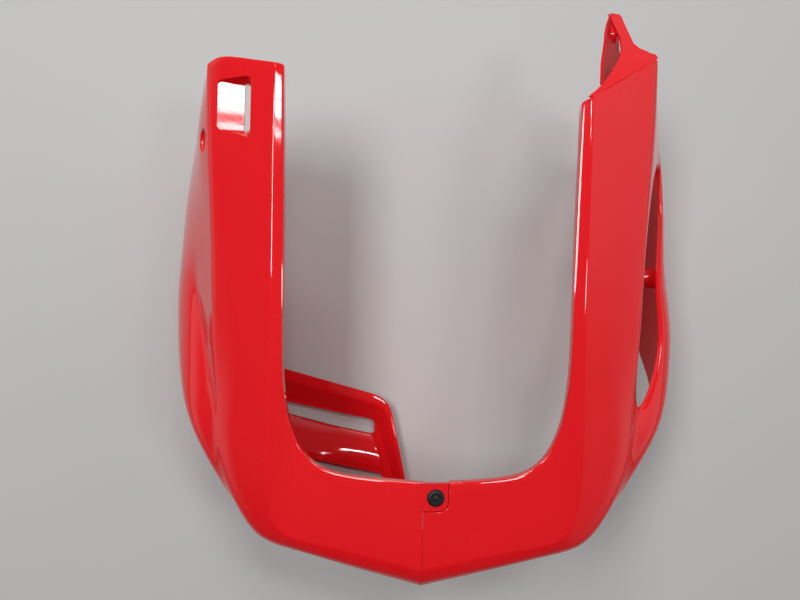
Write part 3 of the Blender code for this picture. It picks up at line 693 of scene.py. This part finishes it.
def pocket_ring(corners, grow, lift):
    """Rounded ring through four guide corners, widened and lifted by millimetres."""
    centre = sum((Vector(c) for c in corners), Vector()) / 4
    wide = [(x + math.copysign(grow, x - centre.x), y + math.copysign(grow, y - centre.y), depth)
            for x, y, depth in corners]
    flat = rounded_outline([(x, y, True) for x, y, _ in wide], POCKET_RADIUS)
    slope, base = plane_of(wide)
    return [place(p.x, p.y, base + slope * p.x - lift, -1) for p in flat]


def plane_of(corners):
    """Slope and base of the depth across a quad whose first corner is on its outer side."""
    outer = (corners[0][2] + corners[3][2]) / 2
    inner = (corners[1][2] + corners[2][2]) / 2
    x_outer = (corners[0][0] + corners[3][0]) / 2
    x_inner = (corners[1][0] + corners[2][0]) / 2
    slope = (outer - inner) / (x_outer - x_inner)
    return slope, outer - slope * x_outer


def add_pocket(half):
    """Pocket with a ramped floor, thin walls behind the face and a slit at its inner side."""
    half.join(lofted("pocket_walls", [pocket_ring(*ring) for ring in POCKET_WALLS]))
    space = []
    for share, grow, lift in POCKET_SPACE:
        corners = [between(a, b, share) for a, b in zip(POCKET_MOUTH, POCKET_FLOOR)]
        space.append(pocket_ring(corners, grow, lift))
    half.cut(lofted("pocket_space", space))
    half.skins.append(flat_skin(space[-1]))
    x0, x1, y0, y1 = SLIT
    low, high = SLIT_DEPTHS
    half.cut(block("pocket_slit", place(x1, y0, low, -1), place(x0, y1, high, -1)))


def cross_frame(centre, side, flare=0.0):
    """Place of a tool square to a side wall that flares by an angle; its Z runs outwards."""
    turn = side * (math.pi / 2 - flare)
    return Matrix.Translation(place(*centre, side)) @ Matrix.Rotation(turn, 4, "Y")


def add_screw_seat(half):
    """Counterbored screw seat with a rounded mouth in the side wall."""
    at = cross_frame(SEAT_CENTRE, -1, SIDE_FLARE)
    back = SEAT_RADIUS + 2
    boss = [(0, -10.2), (back - 0.6, -10.2), (back, -9.6), (back, -2.2), (0, -2.2)]
    half.join(turned("seat_boss", boss), at)
    rim = SEAT_RADIUS
    mouth = [(0, 12), (rim + 1.6, 12), (rim + 1.4, 0.2), (rim + 0.6, -0.3), (rim + 0.1, -1.1),
             (rim - 0.2, 0.6 - SEAT_SINK), (rim - 0.6, 0.15 - SEAT_SINK),
             (rim - 1.2, -SEAT_SINK), (0, -SEAT_SINK)]
    half.cut(turned("seat_sink", mouth), at)
    hole = [(0, 10), (SCREW_RADIUS + 0.4, 10), (SCREW_RADIUS + 0.4, -SEAT_SINK),
            (SCREW_RADIUS, -SEAT_SINK - 0.5), (SCREW_RADIUS, -20), (0, -20)]
    half.cut(turned("seat_hole", hole), at)


def spline_point(points, t):
    """Point of the smooth line that the cage's guide points make, at a fractional station."""
    k = min(int(t), len(points) - 2)
    f = t - k
    last = len(points) - 1
    p = [Vector(points[max(0, min(last, k + n))]) for n in (-1, 0, 1, 2)]
    if k == 0:
        p[0] = p[1] * 2 - p[2]
    if k == last - 1:
        p[3] = p[2] * 2 - p[1]
    weights = ((1 - f) ** 3, 3 * f ** 3 - 6 * f * f + 4,
               -3 * f ** 3 + 3 * f * f + 3 * f + 1, f ** 3)
    return sum((q * w for q, w in zip(p, weights)), Vector()) / 6


def crossing(a, along_a, b, along_b):
    """Where two flat lines meet."""
    share = (b - a).cross(along_b) / along_a.cross(along_b)
    return a + along_a * share


def panel_ring(columns, inset, fall, radius, from_top, from_side, first, last):
    """Ring of the closing panel on the +X half: beside the skin, then along its free edges."""
    lower, rear = columns[-2], columns[-1]
    final = PANEL_STATIONS - 1
    along = []
    for n in range(PANEL_STATIONS):
        t = first + (last - first) * n / final
        a = spline_point(lower, t)
        b = spline_point(rear, t)
        share = (FRONT - PANEL_Z - a.z) / (b.z - a.z)
        along.append((a + (b - a) * share).to_2d())
    points = []
    for k, here in enumerate(along):
        ahead = along[min(k + 1, final)] - along[max(k - 1, 0)]
        inward = Vector((-ahead.y, ahead.x)).normalized()
        points.append(here + inward * inset)
    outer, corner, foot = (Vector(p) for p in PANEL_CORNERS)
    top = (corner - outer).normalized()
    side = (foot - corner).normalized()
    on_top = corner + Vector((-top.y, top.x)) * from_top
    on_side = corner + Vector((-side.y, side.x)) * from_side
    turn = crossing(on_top, top, on_side, side)
    ends = [(*points[-1], False), (*turn, True), (*points[0], False)]
    free = rounded_outline(ends, radius, 12)
    straight = [k / PANEL_EDGE_PARTS for k in range(1, PANEL_EDGE_PARTS)]
    edge = [free[0].lerp(free[1], t) for t in straight] + free[1:-1]
    edge += [free[-2].lerp(free[-1], t) for t in straight]
    return [(p.x, p.y, FRONT - PANEL_Z + fall) for p in points + edge]


def panel_sheet(columns):
    """Open sheet of the closing panel: flange, sloped step and tray, with rounded folds."""
    bm = bmesh.new()
    rings = [[bm.verts.new(place(*p, -1)) for p in panel_ring(columns, *ring)]
             for ring in PANEL_RINGS]
    for outer, inner in zip(rings, rings[1:]):
        for k in range(len(outer)):
            bm.faces.new([outer[k - 1], outer[k], inner[k], inner[k - 1]])
    bm.faces.new(rings[-1])
    bmesh.ops.recalc_face_normals(bm, faces=bm.faces)
    if sum(f.normal.z for f in bm.faces) < 0:
        bmesh.ops.reverse_faces(bm, faces=bm.faces)
    folds = [bm.edges.get((ring[k - 1], ring[k])) for ring in rings[1:] for k in range(len(ring))]
    bmesh.ops.bevel(bm, geom=folds, offset=FOLD_RADIUS * MM, segments=4, profile=0.5,
                    affect="EDGES")
    return mesh_of(bm, "closing_panel")


def slot_cut(name, outline):
    """Tool that cuts a slot with rounded upper edges through the tray."""
    flat = rounded_outline([(-x, y, True) for x, y in outline], SLOT_ROUNDING)
    tray = PANEL_Z - TRAY_DROP
    rings = []
    for rise, grow in SLOT_LEVELS:
        depth = FRONT - (tray + rise)
        rings.append([place(p.x, p.y, depth, -1) for p in grown(flat, grow)])
    return lofted(name, rings)


def add_closing_panel(half, columns, materials):
    """Rear panel: flat flange, sloped step down to the tray, raised blade and two slots."""
    panel = moulded_wall("closing_panel", panel_sheet(columns), PANEL_WALL, materials, 0)
    half.skins.append(panel.copy())
    half.join(panel)
    tray_depth = FRONT - PANEL_Z + TRAY_DROP
    blade = [place(-x, y, tray_depth - BLADE_RISE, -1) for x, y in BLADE]
    blade += [place(-x, y, tray_depth + PANEL_WALL / 2, -1) for x, y in BLADE_FOOT]
    half.join(hull_mesh("louvre_blade", blade, BLADE_ROUNDING))
    # Slot walls take the inside material, whose darker colour is painted shade
    half.cut(rough_and_shaded(slot_cut("upper_slot", SLOT_UPPER)))
    half.cut(rough_and_shaded(slot_cut("lower_slot", SLOT_LOWER)))


def tab_mesh(name, levels, top, start=0.0):
    """Rounded plate in the plane of the band, from the seam or from a start."""
    rings = []
    for depth, grow in levels:
        corners = [(start, top, False), (start, TAB_BOTTOM - grow, False),
                   (TAB_REACH + grow, TAB_BOTTOM - grow, True), (TAB_REACH + grow, top, False)]
        flat = rounded_outline(corners, TAB_RADIUS + grow, 10)
        rings.append([place(p.x, p.y, TAB_DEPTH + depth + TAB_FALL * p.x) for p in flat])
    return lofted(name, rings)


def rivet_frame():
    """Place and tilt of the rivet: its origin is on the tab's outer face."""
    x, y = RIVET
    tilt = Matrix.Rotation(math.atan(TAB_FALL), 4, "Y")
    return Matrix.Translation(place(x, y, TAB_DEPTH + TAB_FALL * x)) @ tilt


def rivet_hole():
    """Tool square to the tab that cuts the rivet's hole."""
    return turned("rivet_hole", [(0, -15), (RIVET_HOLE, -15), (RIVET_HOLE, 15), (0, 15)])


def add_lap_tab(half):
    """Tab that laps over the other half and takes the rivet."""
    half.join(tab_mesh("lap_tab", TAB_LEVELS, TAB_TOP, TAB_ROOT))
    half.cut(rivet_hole(), rivet_frame())


def add_joggle(half):
    """Step in the left half's band that takes the tab, a wall lower, so their faces are flush."""
    gap = TAB_CLEARANCE
    room = ((22, gap), (0.7, gap), (0.2, gap + 0.2), (-0.1, gap + 0.7), (-6, gap + 0.7))
    half.cut(tab_mesh("tab_room", room, TAB_TOP + 8, -1))
    under = TAB_WALL + CUT_GAP
    step = ((under + JOGGLE_WALL, JOGGLE_REACH), (under, JOGGLE_REACH))
    half.join(tab_mesh("joggle_floor", step, TAB_TOP, CUT_GAP / 2))
    half.cut(rivet_hole(), rivet_frame())


def ear_point(u, v, below=0.0):
    """World place on the flat slanted end of the left arm, or below it."""
    start = Vector(EAR_ORIGIN)
    along = Vector(EAR_END) - start
    reach = math.hypot(along.x, along.y)
    x = start.x + (u * along.x - v * along.y) / reach
    y = start.y + (u * along.y + v * along.x) / reach
    depth = start.z + u * along.z / reach + v * EAR_FALL
    return place(x, y, depth + below)


def add_ear(half):
    """Mounting ear: slanted front plate, inner flange with its screw boss and hole."""
    outline = [Vector(p) for p in EAR_OUTLINE]
    base = min(p.y for p in outline)
    plate = []
    for below, grow in EAR_LEVELS:
        ring = zip(outline, grown(outline, grow))
        plate.append([ear_point(*(p if p.y == base else q), below) for p, q in ring])
    half.join(lofted("ear_plate", plate))
    half.skins.append(flat_skin(plate[0]))
    bm = bmesh.new()
    upper = [bm.verts.new(place(*near)) for near, _ in EAR_FLANGE]
    lower = [bm.verts.new(place(*far)) for _, far in EAR_FLANGE]
    for k in range(len(upper) - 1):
        bm.faces.new([upper[k], upper[k + 1], lower[k + 1], lower[k]])
    flange = add_object("ear_flange", mesh_of(bm, "ear_flange"))
    skin = flange.modifiers.new("wall", "SOLIDIFY")
    skin.thickness = EAR_WALL * MM
    skin.offset = 0
    # The flange takes the inside material, whose darker colour paints the shade in the ear's hollow
    half.join(rough_and_shaded(settled_mesh(flange, "ear_flange")))
    drop(flange)
    at = cross_frame(EAR_HOLE, 1)
    rim, end = EAR_BOSS_RADIUS, EAR_BOSS_LENGTH
    boss = [(0, 0), (rim, 0), (rim, end - 0.6), (rim - 0.6, end), (0, end)]
    half.join(turned("ear_boss", boss), at)
    mouth = SCREW_RADIUS + 0.5
    hole = [(0, -15), (SCREW_RADIUS, -15), (SCREW_RADIUS, end - 0.5), (mouth, end + 0.1),
            (mouth, 15), (0, 15)]
    half.cut(turned("ear_hole", hole), at)


def add_vent_boss(half):
    """Screw boss that stands on the inside of the skin behind the vent."""
    at = cross_frame(VENT_BOSS, 1)
    rim, end = VENT_BOSS_RADIUS, VENT_BOSS_LENGTH / 2
    boss = turned("vent_boss", [(0, -end), (rim - 0.8, -end), (rim - 0.2, 0.2 - end),
                                (rim, 0.8 - end), (rim, end), (0, end)])
    for vert in boss.vertices:
        if vert.co.z > 0:
            vert.co.z += VENT_BOSS_SLANT * vert.co.x + VENT_BOSS_SINK * MM
    half.join(boss, at)
    mouth = SCREW_RADIUS + 0.5
    bore = [(0, -end - 5), (mouth, -end - 5), (mouth, 0.1 - end), (SCREW_RADIUS, 0.7 - end),
            (SCREW_RADIUS, 7 - end), (0, 7 - end)]
    half.cut(turned("vent_bore", bore), at)


def make_right_shell(materials):
    """Right half shell: groove in the side, pocket, screw seat, closing panel and lap tab."""
    columns = half_columns(GROOVE_SHOULDER, GROOVE, BULGE, REAR_EDGE, RIGHT_END)
    swell(columns, *RIGHT_SWELL)
    cage = cage_mesh("right_cage", columns, RIGHT_CREASES, -1)
    half = Working("right_shell", moulded_wall("right_wall", cage, WALL, materials))
    add_pocket(half)
    add_screw_seat(half)
    add_closing_panel(half, columns, materials)
    half.cut(rough_and_shaded(seam_cut(-1)))
    add_lap_tab(half)
    return half.finish()


def make_left_shell(materials):
    """Left half shell: open vent with a lip and a boss, joggle under the tab, and mounting ear."""
    columns = half_columns(VENT_FRONT, VENT_BACK, VENT_LIP, LEFT_REAR_EDGE, LEFT_END)
    swell(columns, *LEFT_SWELL)
    hole = (VENT_COLUMN, *VENT_ROWS)
    cage = cage_mesh("left_cage", columns, LEFT_CREASES, 1, hole, VENT_LIP_DRAW)
    half = Working("left_shell", moulded_wall("left_wall", cage, WALL, materials))
    half.cut(rough_and_shaded(seam_cut(1)))
    add_joggle(half)
    add_ear(half)
    add_vent_boss(half)
    return half.finish()


def arc(centre, radius, start, end, steps=5):
    """Points of a profile's fillet, with angles in degrees."""
    points = []
    for n in range(steps + 1):
        angle = math.radians(start + (end - start) * n / steps)
        points.append((centre[0] + radius * math.cos(angle), centre[1] + radius * math.sin(angle)))
    return points


def dome(radius, height, inner, steps=14):
    """Profile of a domed head from its rim to an inner radius."""
    shares = [n / steps for n in range(steps + 1)]
    return [(radius + (inner - radius) * share,
             DOME_EDGE + (height - DOME_EDGE) * math.sqrt(1 - (1 - share) ** 2))
            for share in shares]


def make_rivet(materials):
    """Push rivet: domed body with split legs, and the pin that spreads them."""
    seat = rivet_frame() @ Matrix.Translation((0, 0, CUT_GAP * MM))
    ring = PIN_HEAD + CUT_GAP
    profile = [(RIVET_BORE, -RIVET_LENGTH), (RIVET_SHANK - 0.9, -RIVET_LENGTH),
               (RIVET_SHANK, -RIVET_LENGTH + 3), (RIVET_SHANK, -0.4), (RIVET_SHANK + 0.4, 0),
               (RIVET_HEAD - 0.25, 0), (RIVET_HEAD, 0.25)]
    profile += dome(RIVET_HEAD, RIVET_DOME, ring + 0.5)
    profile += [(ring + 0.12, RIVET_DOME - 0.12), (ring, RIVET_DOME - 0.4), (ring, RIVET_FLOOR),
                (RIVET_BORE, RIVET_FLOOR)]
    body = Working("rivet_body", turned("rivet_body", profile), materials)
    body.skins = []
    for k in range(2):
        body.cut(block("leg_gap", *LEG_GAP), Matrix.Rotation(math.pi / 2 * k, 4, "Z"))
    for thing in [body.base] + body.tools:
        thing.matrix_world = seat @ thing.matrix_world
    foot = RIVET_FLOOR + CUT_GAP
    stem = [(0, -RIVET_LENGTH + 0.5), (PIN_STEM - 0.7, -RIVET_LENGTH + 0.8),
            (PIN_STEM, -RIVET_LENGTH + 2.5), (PIN_STEM, foot), (PIN_HEAD, foot),
            (PIN_HEAD, RIVET_DOME - 0.55)]
    stem += arc((PIN_HEAD - 0.5, RIVET_DOME - 0.55), 0.5, 0, 70)
    stem += [(PIN_HEAD - 0.9, RIVET_DOME - 0.15), (PIN_HEAD - 1.15, PIN_TOP - 0.12),
             (PIN_HEAD - 1.35, PIN_TOP), (0, PIN_TOP)]
    pin = Working("rivet_pin", turned("rivet_pin", stem), materials)
    pin.skins = []
    pin.base.matrix_world = seat
    return body.finish(), pin.finish()


def socketed_group(name, inputs, outputs):
    """Empty shader node group, what it is given, and the node that takes its results."""
    tree = bpy.data.node_groups.new(name, "ShaderNodeTree")
    for label, kind, value in inputs:
        socket = tree.interface.new_socket(label, in_out="INPUT", socket_type=kind)
        socket.default_value = value
    for label, kind in outputs:
        tree.interface.new_socket(label, in_out="OUTPUT", socket_type=kind)
    return tree, tree.nodes.new("NodeGroupInput").outputs, tree.nodes.new("NodeGroupOutput")


def feed(tree, node, values):
    """Give a node's inputs their values: each is another node's output or a plain value."""
    for label, value in values.items():
        if isinstance(value, bpy.types.NodeSocket):
            tree.links.new(value, node.inputs[label])
        else:
            node.inputs[label].default_value = value


def new_node(tree, kind, values, **settings):
    """Outputs of a new node with its settings and the values of its inputs."""
    node = tree.nodes.new(kind)
    for name, value in settings.items():
        setattr(node, name, value)
    feed(tree, node, values)
    return node.outputs


def product(tree, first, second):
    """Product of two outputs."""
    return new_node(tree, "ShaderNodeMath", {0: first, 1: second}, operation="MULTIPLY")["Value"]


def mixed(tree, kind, share, first, second):
    """Mix of two values or colours by a share."""
    a, b, result = MIX_SOCKETS[kind]
    inputs = {"Factor": share, a: first, b: second}
    return new_node(tree, "ShaderNodeMix", inputs, data_type=kind)[result]


def speckle_group():
    """Sparse dust specks and faint wiping marks, as masks over Object coordinates."""
    tree, given, result = socketed_group(
        "dust_and_wipes", [("Scale", "NodeSocketFloat", 900.0), ("Dust", "NodeSocketFloat", 0.5)],
        [("Specks", "NodeSocketFloat"), ("Wipes", "NodeSocketFloat")])
    where = tree.nodes.new("ShaderNodeTexCoord").outputs["Object"]
    grains = new_node(tree, "ShaderNodeTexVoronoi", {"Vector": where, "Scale": given["Scale"]})
    near = new_node(tree, "ShaderNodeMapRange",
                    {"Value": grains["Distance"], "From Min": 0.16, "From Max": 0.05})
    patch = new_node(tree, "ShaderNodeTexNoise", {"Vector": where, "Scale": 14.0, "Detail": 3.0})
    sparse = new_node(tree, "ShaderNodeMapRange",
                      {"Value": patch["Fac"], "From Min": 0.45, "From Max": 0.75})
    specks = product(tree, near["Result"], sparse["Result"])
    stretched = new_node(tree, "ShaderNodeMapping", {"Vector": where, "Scale": (9.0, 2.0, 4.0),
                                                     "Rotation": (0.0, 0.0, 0.6)})
    wipes = new_node(tree, "ShaderNodeTexNoise", {"Vector": stretched["Vector"], "Scale": 6.0,
                                                  "Detail": 5.0, "Roughness": 0.6})
    feed(tree, result, {"Specks": product(tree, specks, given["Dust"]), "Wipes": wipes["Fac"]})
    return tree


def drift_group():
    """Slow drift of a moulded colour over Object coordinates."""
    tree, given, result = socketed_group(
        "colour_drift", [("Light", "NodeSocketColor", (1, 1, 1, 1)),
                         ("Deep", "NodeSocketColor", (0, 0, 0, 1)),
                         ("Scale", "NodeSocketFloat", 5.0)],
        [("Color", "NodeSocketColor")])
    where = tree.nodes.new("ShaderNodeTexCoord").outputs["Object"]
    cloud = new_node(tree, "ShaderNodeTexNoise",
                     {"Vector": where, "Scale": given["Scale"], "Detail": 2.0})
    feed(tree, result, {"Color": mixed(tree, "RGBA", cloud["Fac"], given["Deep"], given["Light"])})
    return tree


def grain_group():
    """Fine surface relief, as a normal: orange peel under paint or the grain of a mould."""
    tree, given, result = socketed_group(
        "surface_relief",
        [("Scale", "NodeSocketFloat", 500.0), ("Height", "NodeSocketFloat", 0.00002)],
        [("Normal", "NodeSocketVector")])
    where = tree.nodes.new("ShaderNodeTexCoord").outputs["Object"]
    peel = new_node(tree, "ShaderNodeTexNoise",
                    {"Vector": where, "Scale": given["Scale"], "Detail": 1.5})
    bump = new_node(tree, "ShaderNodeBump",
                    {"Height": peel["Fac"], "Distance": given["Height"], "Strength": 1.0})
    feed(tree, result, {"Normal": bump["Normal"]})
    return tree


def surface(name, light, deep, roughness, shine, dust, grain_scale, grain_height):
    """Moulded plastic: drifting colour, fine relief, wiping marks in its gloss and dust."""
    mat = bpy.data.materials.new(name)
    mat.use_nodes = True
    mat.diffuse_color = (*light, 1)
    tree = mat.node_tree
    colours = {"Light": (*light, 1), "Deep": (*deep, 1), "Scale": DRIFT_SCALE}
    drift = new_node(tree, "ShaderNodeGroup", colours, node_tree=DRIFT)
    marks = new_node(tree, "ShaderNodeGroup", {"Scale": DUST_SCALE, "Dust": dust},
                     node_tree=SPECKLE)
    relief = new_node(tree, "ShaderNodeGroup", {"Scale": grain_scale, "Height": grain_height},
                      node_tree=GRAIN)
    low, high = WIPED_ROUGHNESS
    rough = new_node(tree, "ShaderNodeMapRange", {"Value": marks["Wipes"],
                                                  "To Min": roughness * low,
                                                  "To Max": roughness * high})
    feed(tree, tree.nodes["Principled BSDF"], {
        "Base Color": mixed(tree, "RGBA", marks["Specks"], drift["Color"], DUST_COLOUR),
        "Roughness": rough["Result"], "Normal": relief["Normal"], "Specular IOR Level": shine})
    return mat


def plain_surface(name, colour, roughness, shine):
    """Plain material of one colour."""
    mat = bpy.data.materials.new(name)
    mat.use_nodes = True
    feed(mat.node_tree, mat.node_tree.nodes["Principled BSDF"],
         {"Base Color": (*colour, 1), "Roughness": roughness, "Specular IOR Level": shine})
    return mat


def lay_floor():
    """Pale plain floor that runs far past the object."""
    bm = bmesh.new()
    bmesh.ops.create_grid(bm, x_segments=8, y_segments=8, size=6.0)
    pale = plain_surface("pale_floor", FLOOR_COLOUR, 0.75, 0.2)
    floor = add_object("floor", mesh_of(bm, "floor"), [pale])


def ramp_between(tree, source, edge, low, high):
    """Smooth ramp from one value to another over an edge (start, end)."""
    start, end = edge
    values = {"Value": source, "From Min": start, "From Max": end, "To Min": low, "To Max": high}
    return new_node(tree, "ShaderNodeMapRange", values, interpolation_type="SMOOTHSTEP")["Result"]


def light_room():
    """Soft room: a dim ceiling, pale walls low down and a pale wall on the right."""
    world = bpy.data.worlds.new("room")
    bpy.context.scene.world = world
    world.use_nodes = True
    tree = world.node_tree
    where = tree.nodes.new("ShaderNodeTexCoord").outputs["Generated"]
    split = new_node(tree, "ShaderNodeSeparateXYZ", {"Vector": where})
    walls = product(tree, ramp_between(tree, split["Z"], WALL_TOP, CEILING, WALLS),
                    ramp_between(tree, split["Y"], FRONT_EDGE, FRONT_SHARE, 1.0))
    right = product(tree, ramp_between(tree, split["X"], RIGHT_EDGE, 0.0, 1.0),
                    ramp_between(tree, split["Y"], RIGHT_FADE_EDGE, RIGHT_FADE, 1.0))
    room = mixed(tree, "FLOAT", right, walls, RIGHT_WALL)
    in_view = tree.nodes.new("ShaderNodeLightPath").outputs["Is Camera Ray"]
    feed(tree, tree.nodes["Background"], {
        "Strength": mixed(tree, "FLOAT", in_view, room, BACKDROP), "Color": (1, 1, 1, 1)})


def softbox(name, place_m, aim_m, width, height, power):
    """Area lamp that looks at a point."""
    lamp = bpy.data.lights.new(name, "AREA")
    lamp.shape = "RECTANGLE"
    lamp.size = width
    lamp.size_y = height
    lamp.energy = power
    thing = bpy.data.objects.new(name, lamp)
    thing.location = place_m
    aim = Vector(aim_m) - Vector(place_m)
    thing.rotation_euler = aim.to_track_quat("-Z", "Y").to_euler()
    bpy.context.scene.collection.objects.link(thing)


def set_camera():
    """Camera straight above the pan, as the photograph was taken."""
    lens = bpy.data.cameras.new("camera")
    lens.lens = LENS
    lens.sensor_width = SENSOR
    camera = bpy.data.objects.new("camera", lens)
    camera.location = CAMERA_PLACE
    camera.rotation_euler = (0, 0, CAMERA_TURN)
    bpy.context.scene.collection.objects.link(camera)
    bpy.context.scene.camera = camera


def hand_over(piece, node):
    """The piece stands for its solid, which is hidden, and hangs from the root body."""
    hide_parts(node)
    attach(piece, "root")


set_camera()
SPECKLE = speckle_group()
DRIFT = drift_group()
GRAIN = grain_group()
RED_PAINT = surface("red_gloss_paint", light=(0.76, 0.009, 0.014), deep=(0.70, 0.007, 0.012),
                    roughness=0.05, shine=0.5, dust=0.3, grain_scale=420.0, grain_height=0.00001)
# Inside: a rougher, duller finish of its own, and a darker base colour that is painted shade
RED_INSIDE_SHADED = surface("red_inside_painted_shade", light=(0.62, 0.008, 0.012), deep=(0.56, 0.006, 0.010),
                     roughness=0.45, shine=0.15, dust=0.4, grain_scale=700.0, grain_height=0.00002)
BLACK_NYLON = surface("black_nylon", light=(0.011, 0.011, 0.012), deep=(0.007, 0.007, 0.008),
                      roughness=0.45, shine=0.3, dust=0.15, grain_scale=2600.0,
                      grain_height=0.00002)
hand_over(make_right_shell([RED_PAINT, RED_INSIDE_SHADED]), "right_half_shell")
hand_over(make_left_shell([RED_PAINT, RED_INSIDE_SHADED]), "left_half_shell")
RIVET_BODY, RIVET_PIN = make_rivet([BLACK_NYLON])
hand_over(RIVET_BODY, "push_rivet_body")
hand_over(RIVET_PIN, "push_rivet_pin")
lay_floor()
light_room()
for settings in LAMPS:
    softbox(*settings)
bpy.context.scene.view_settings.view_transform = "Standard"
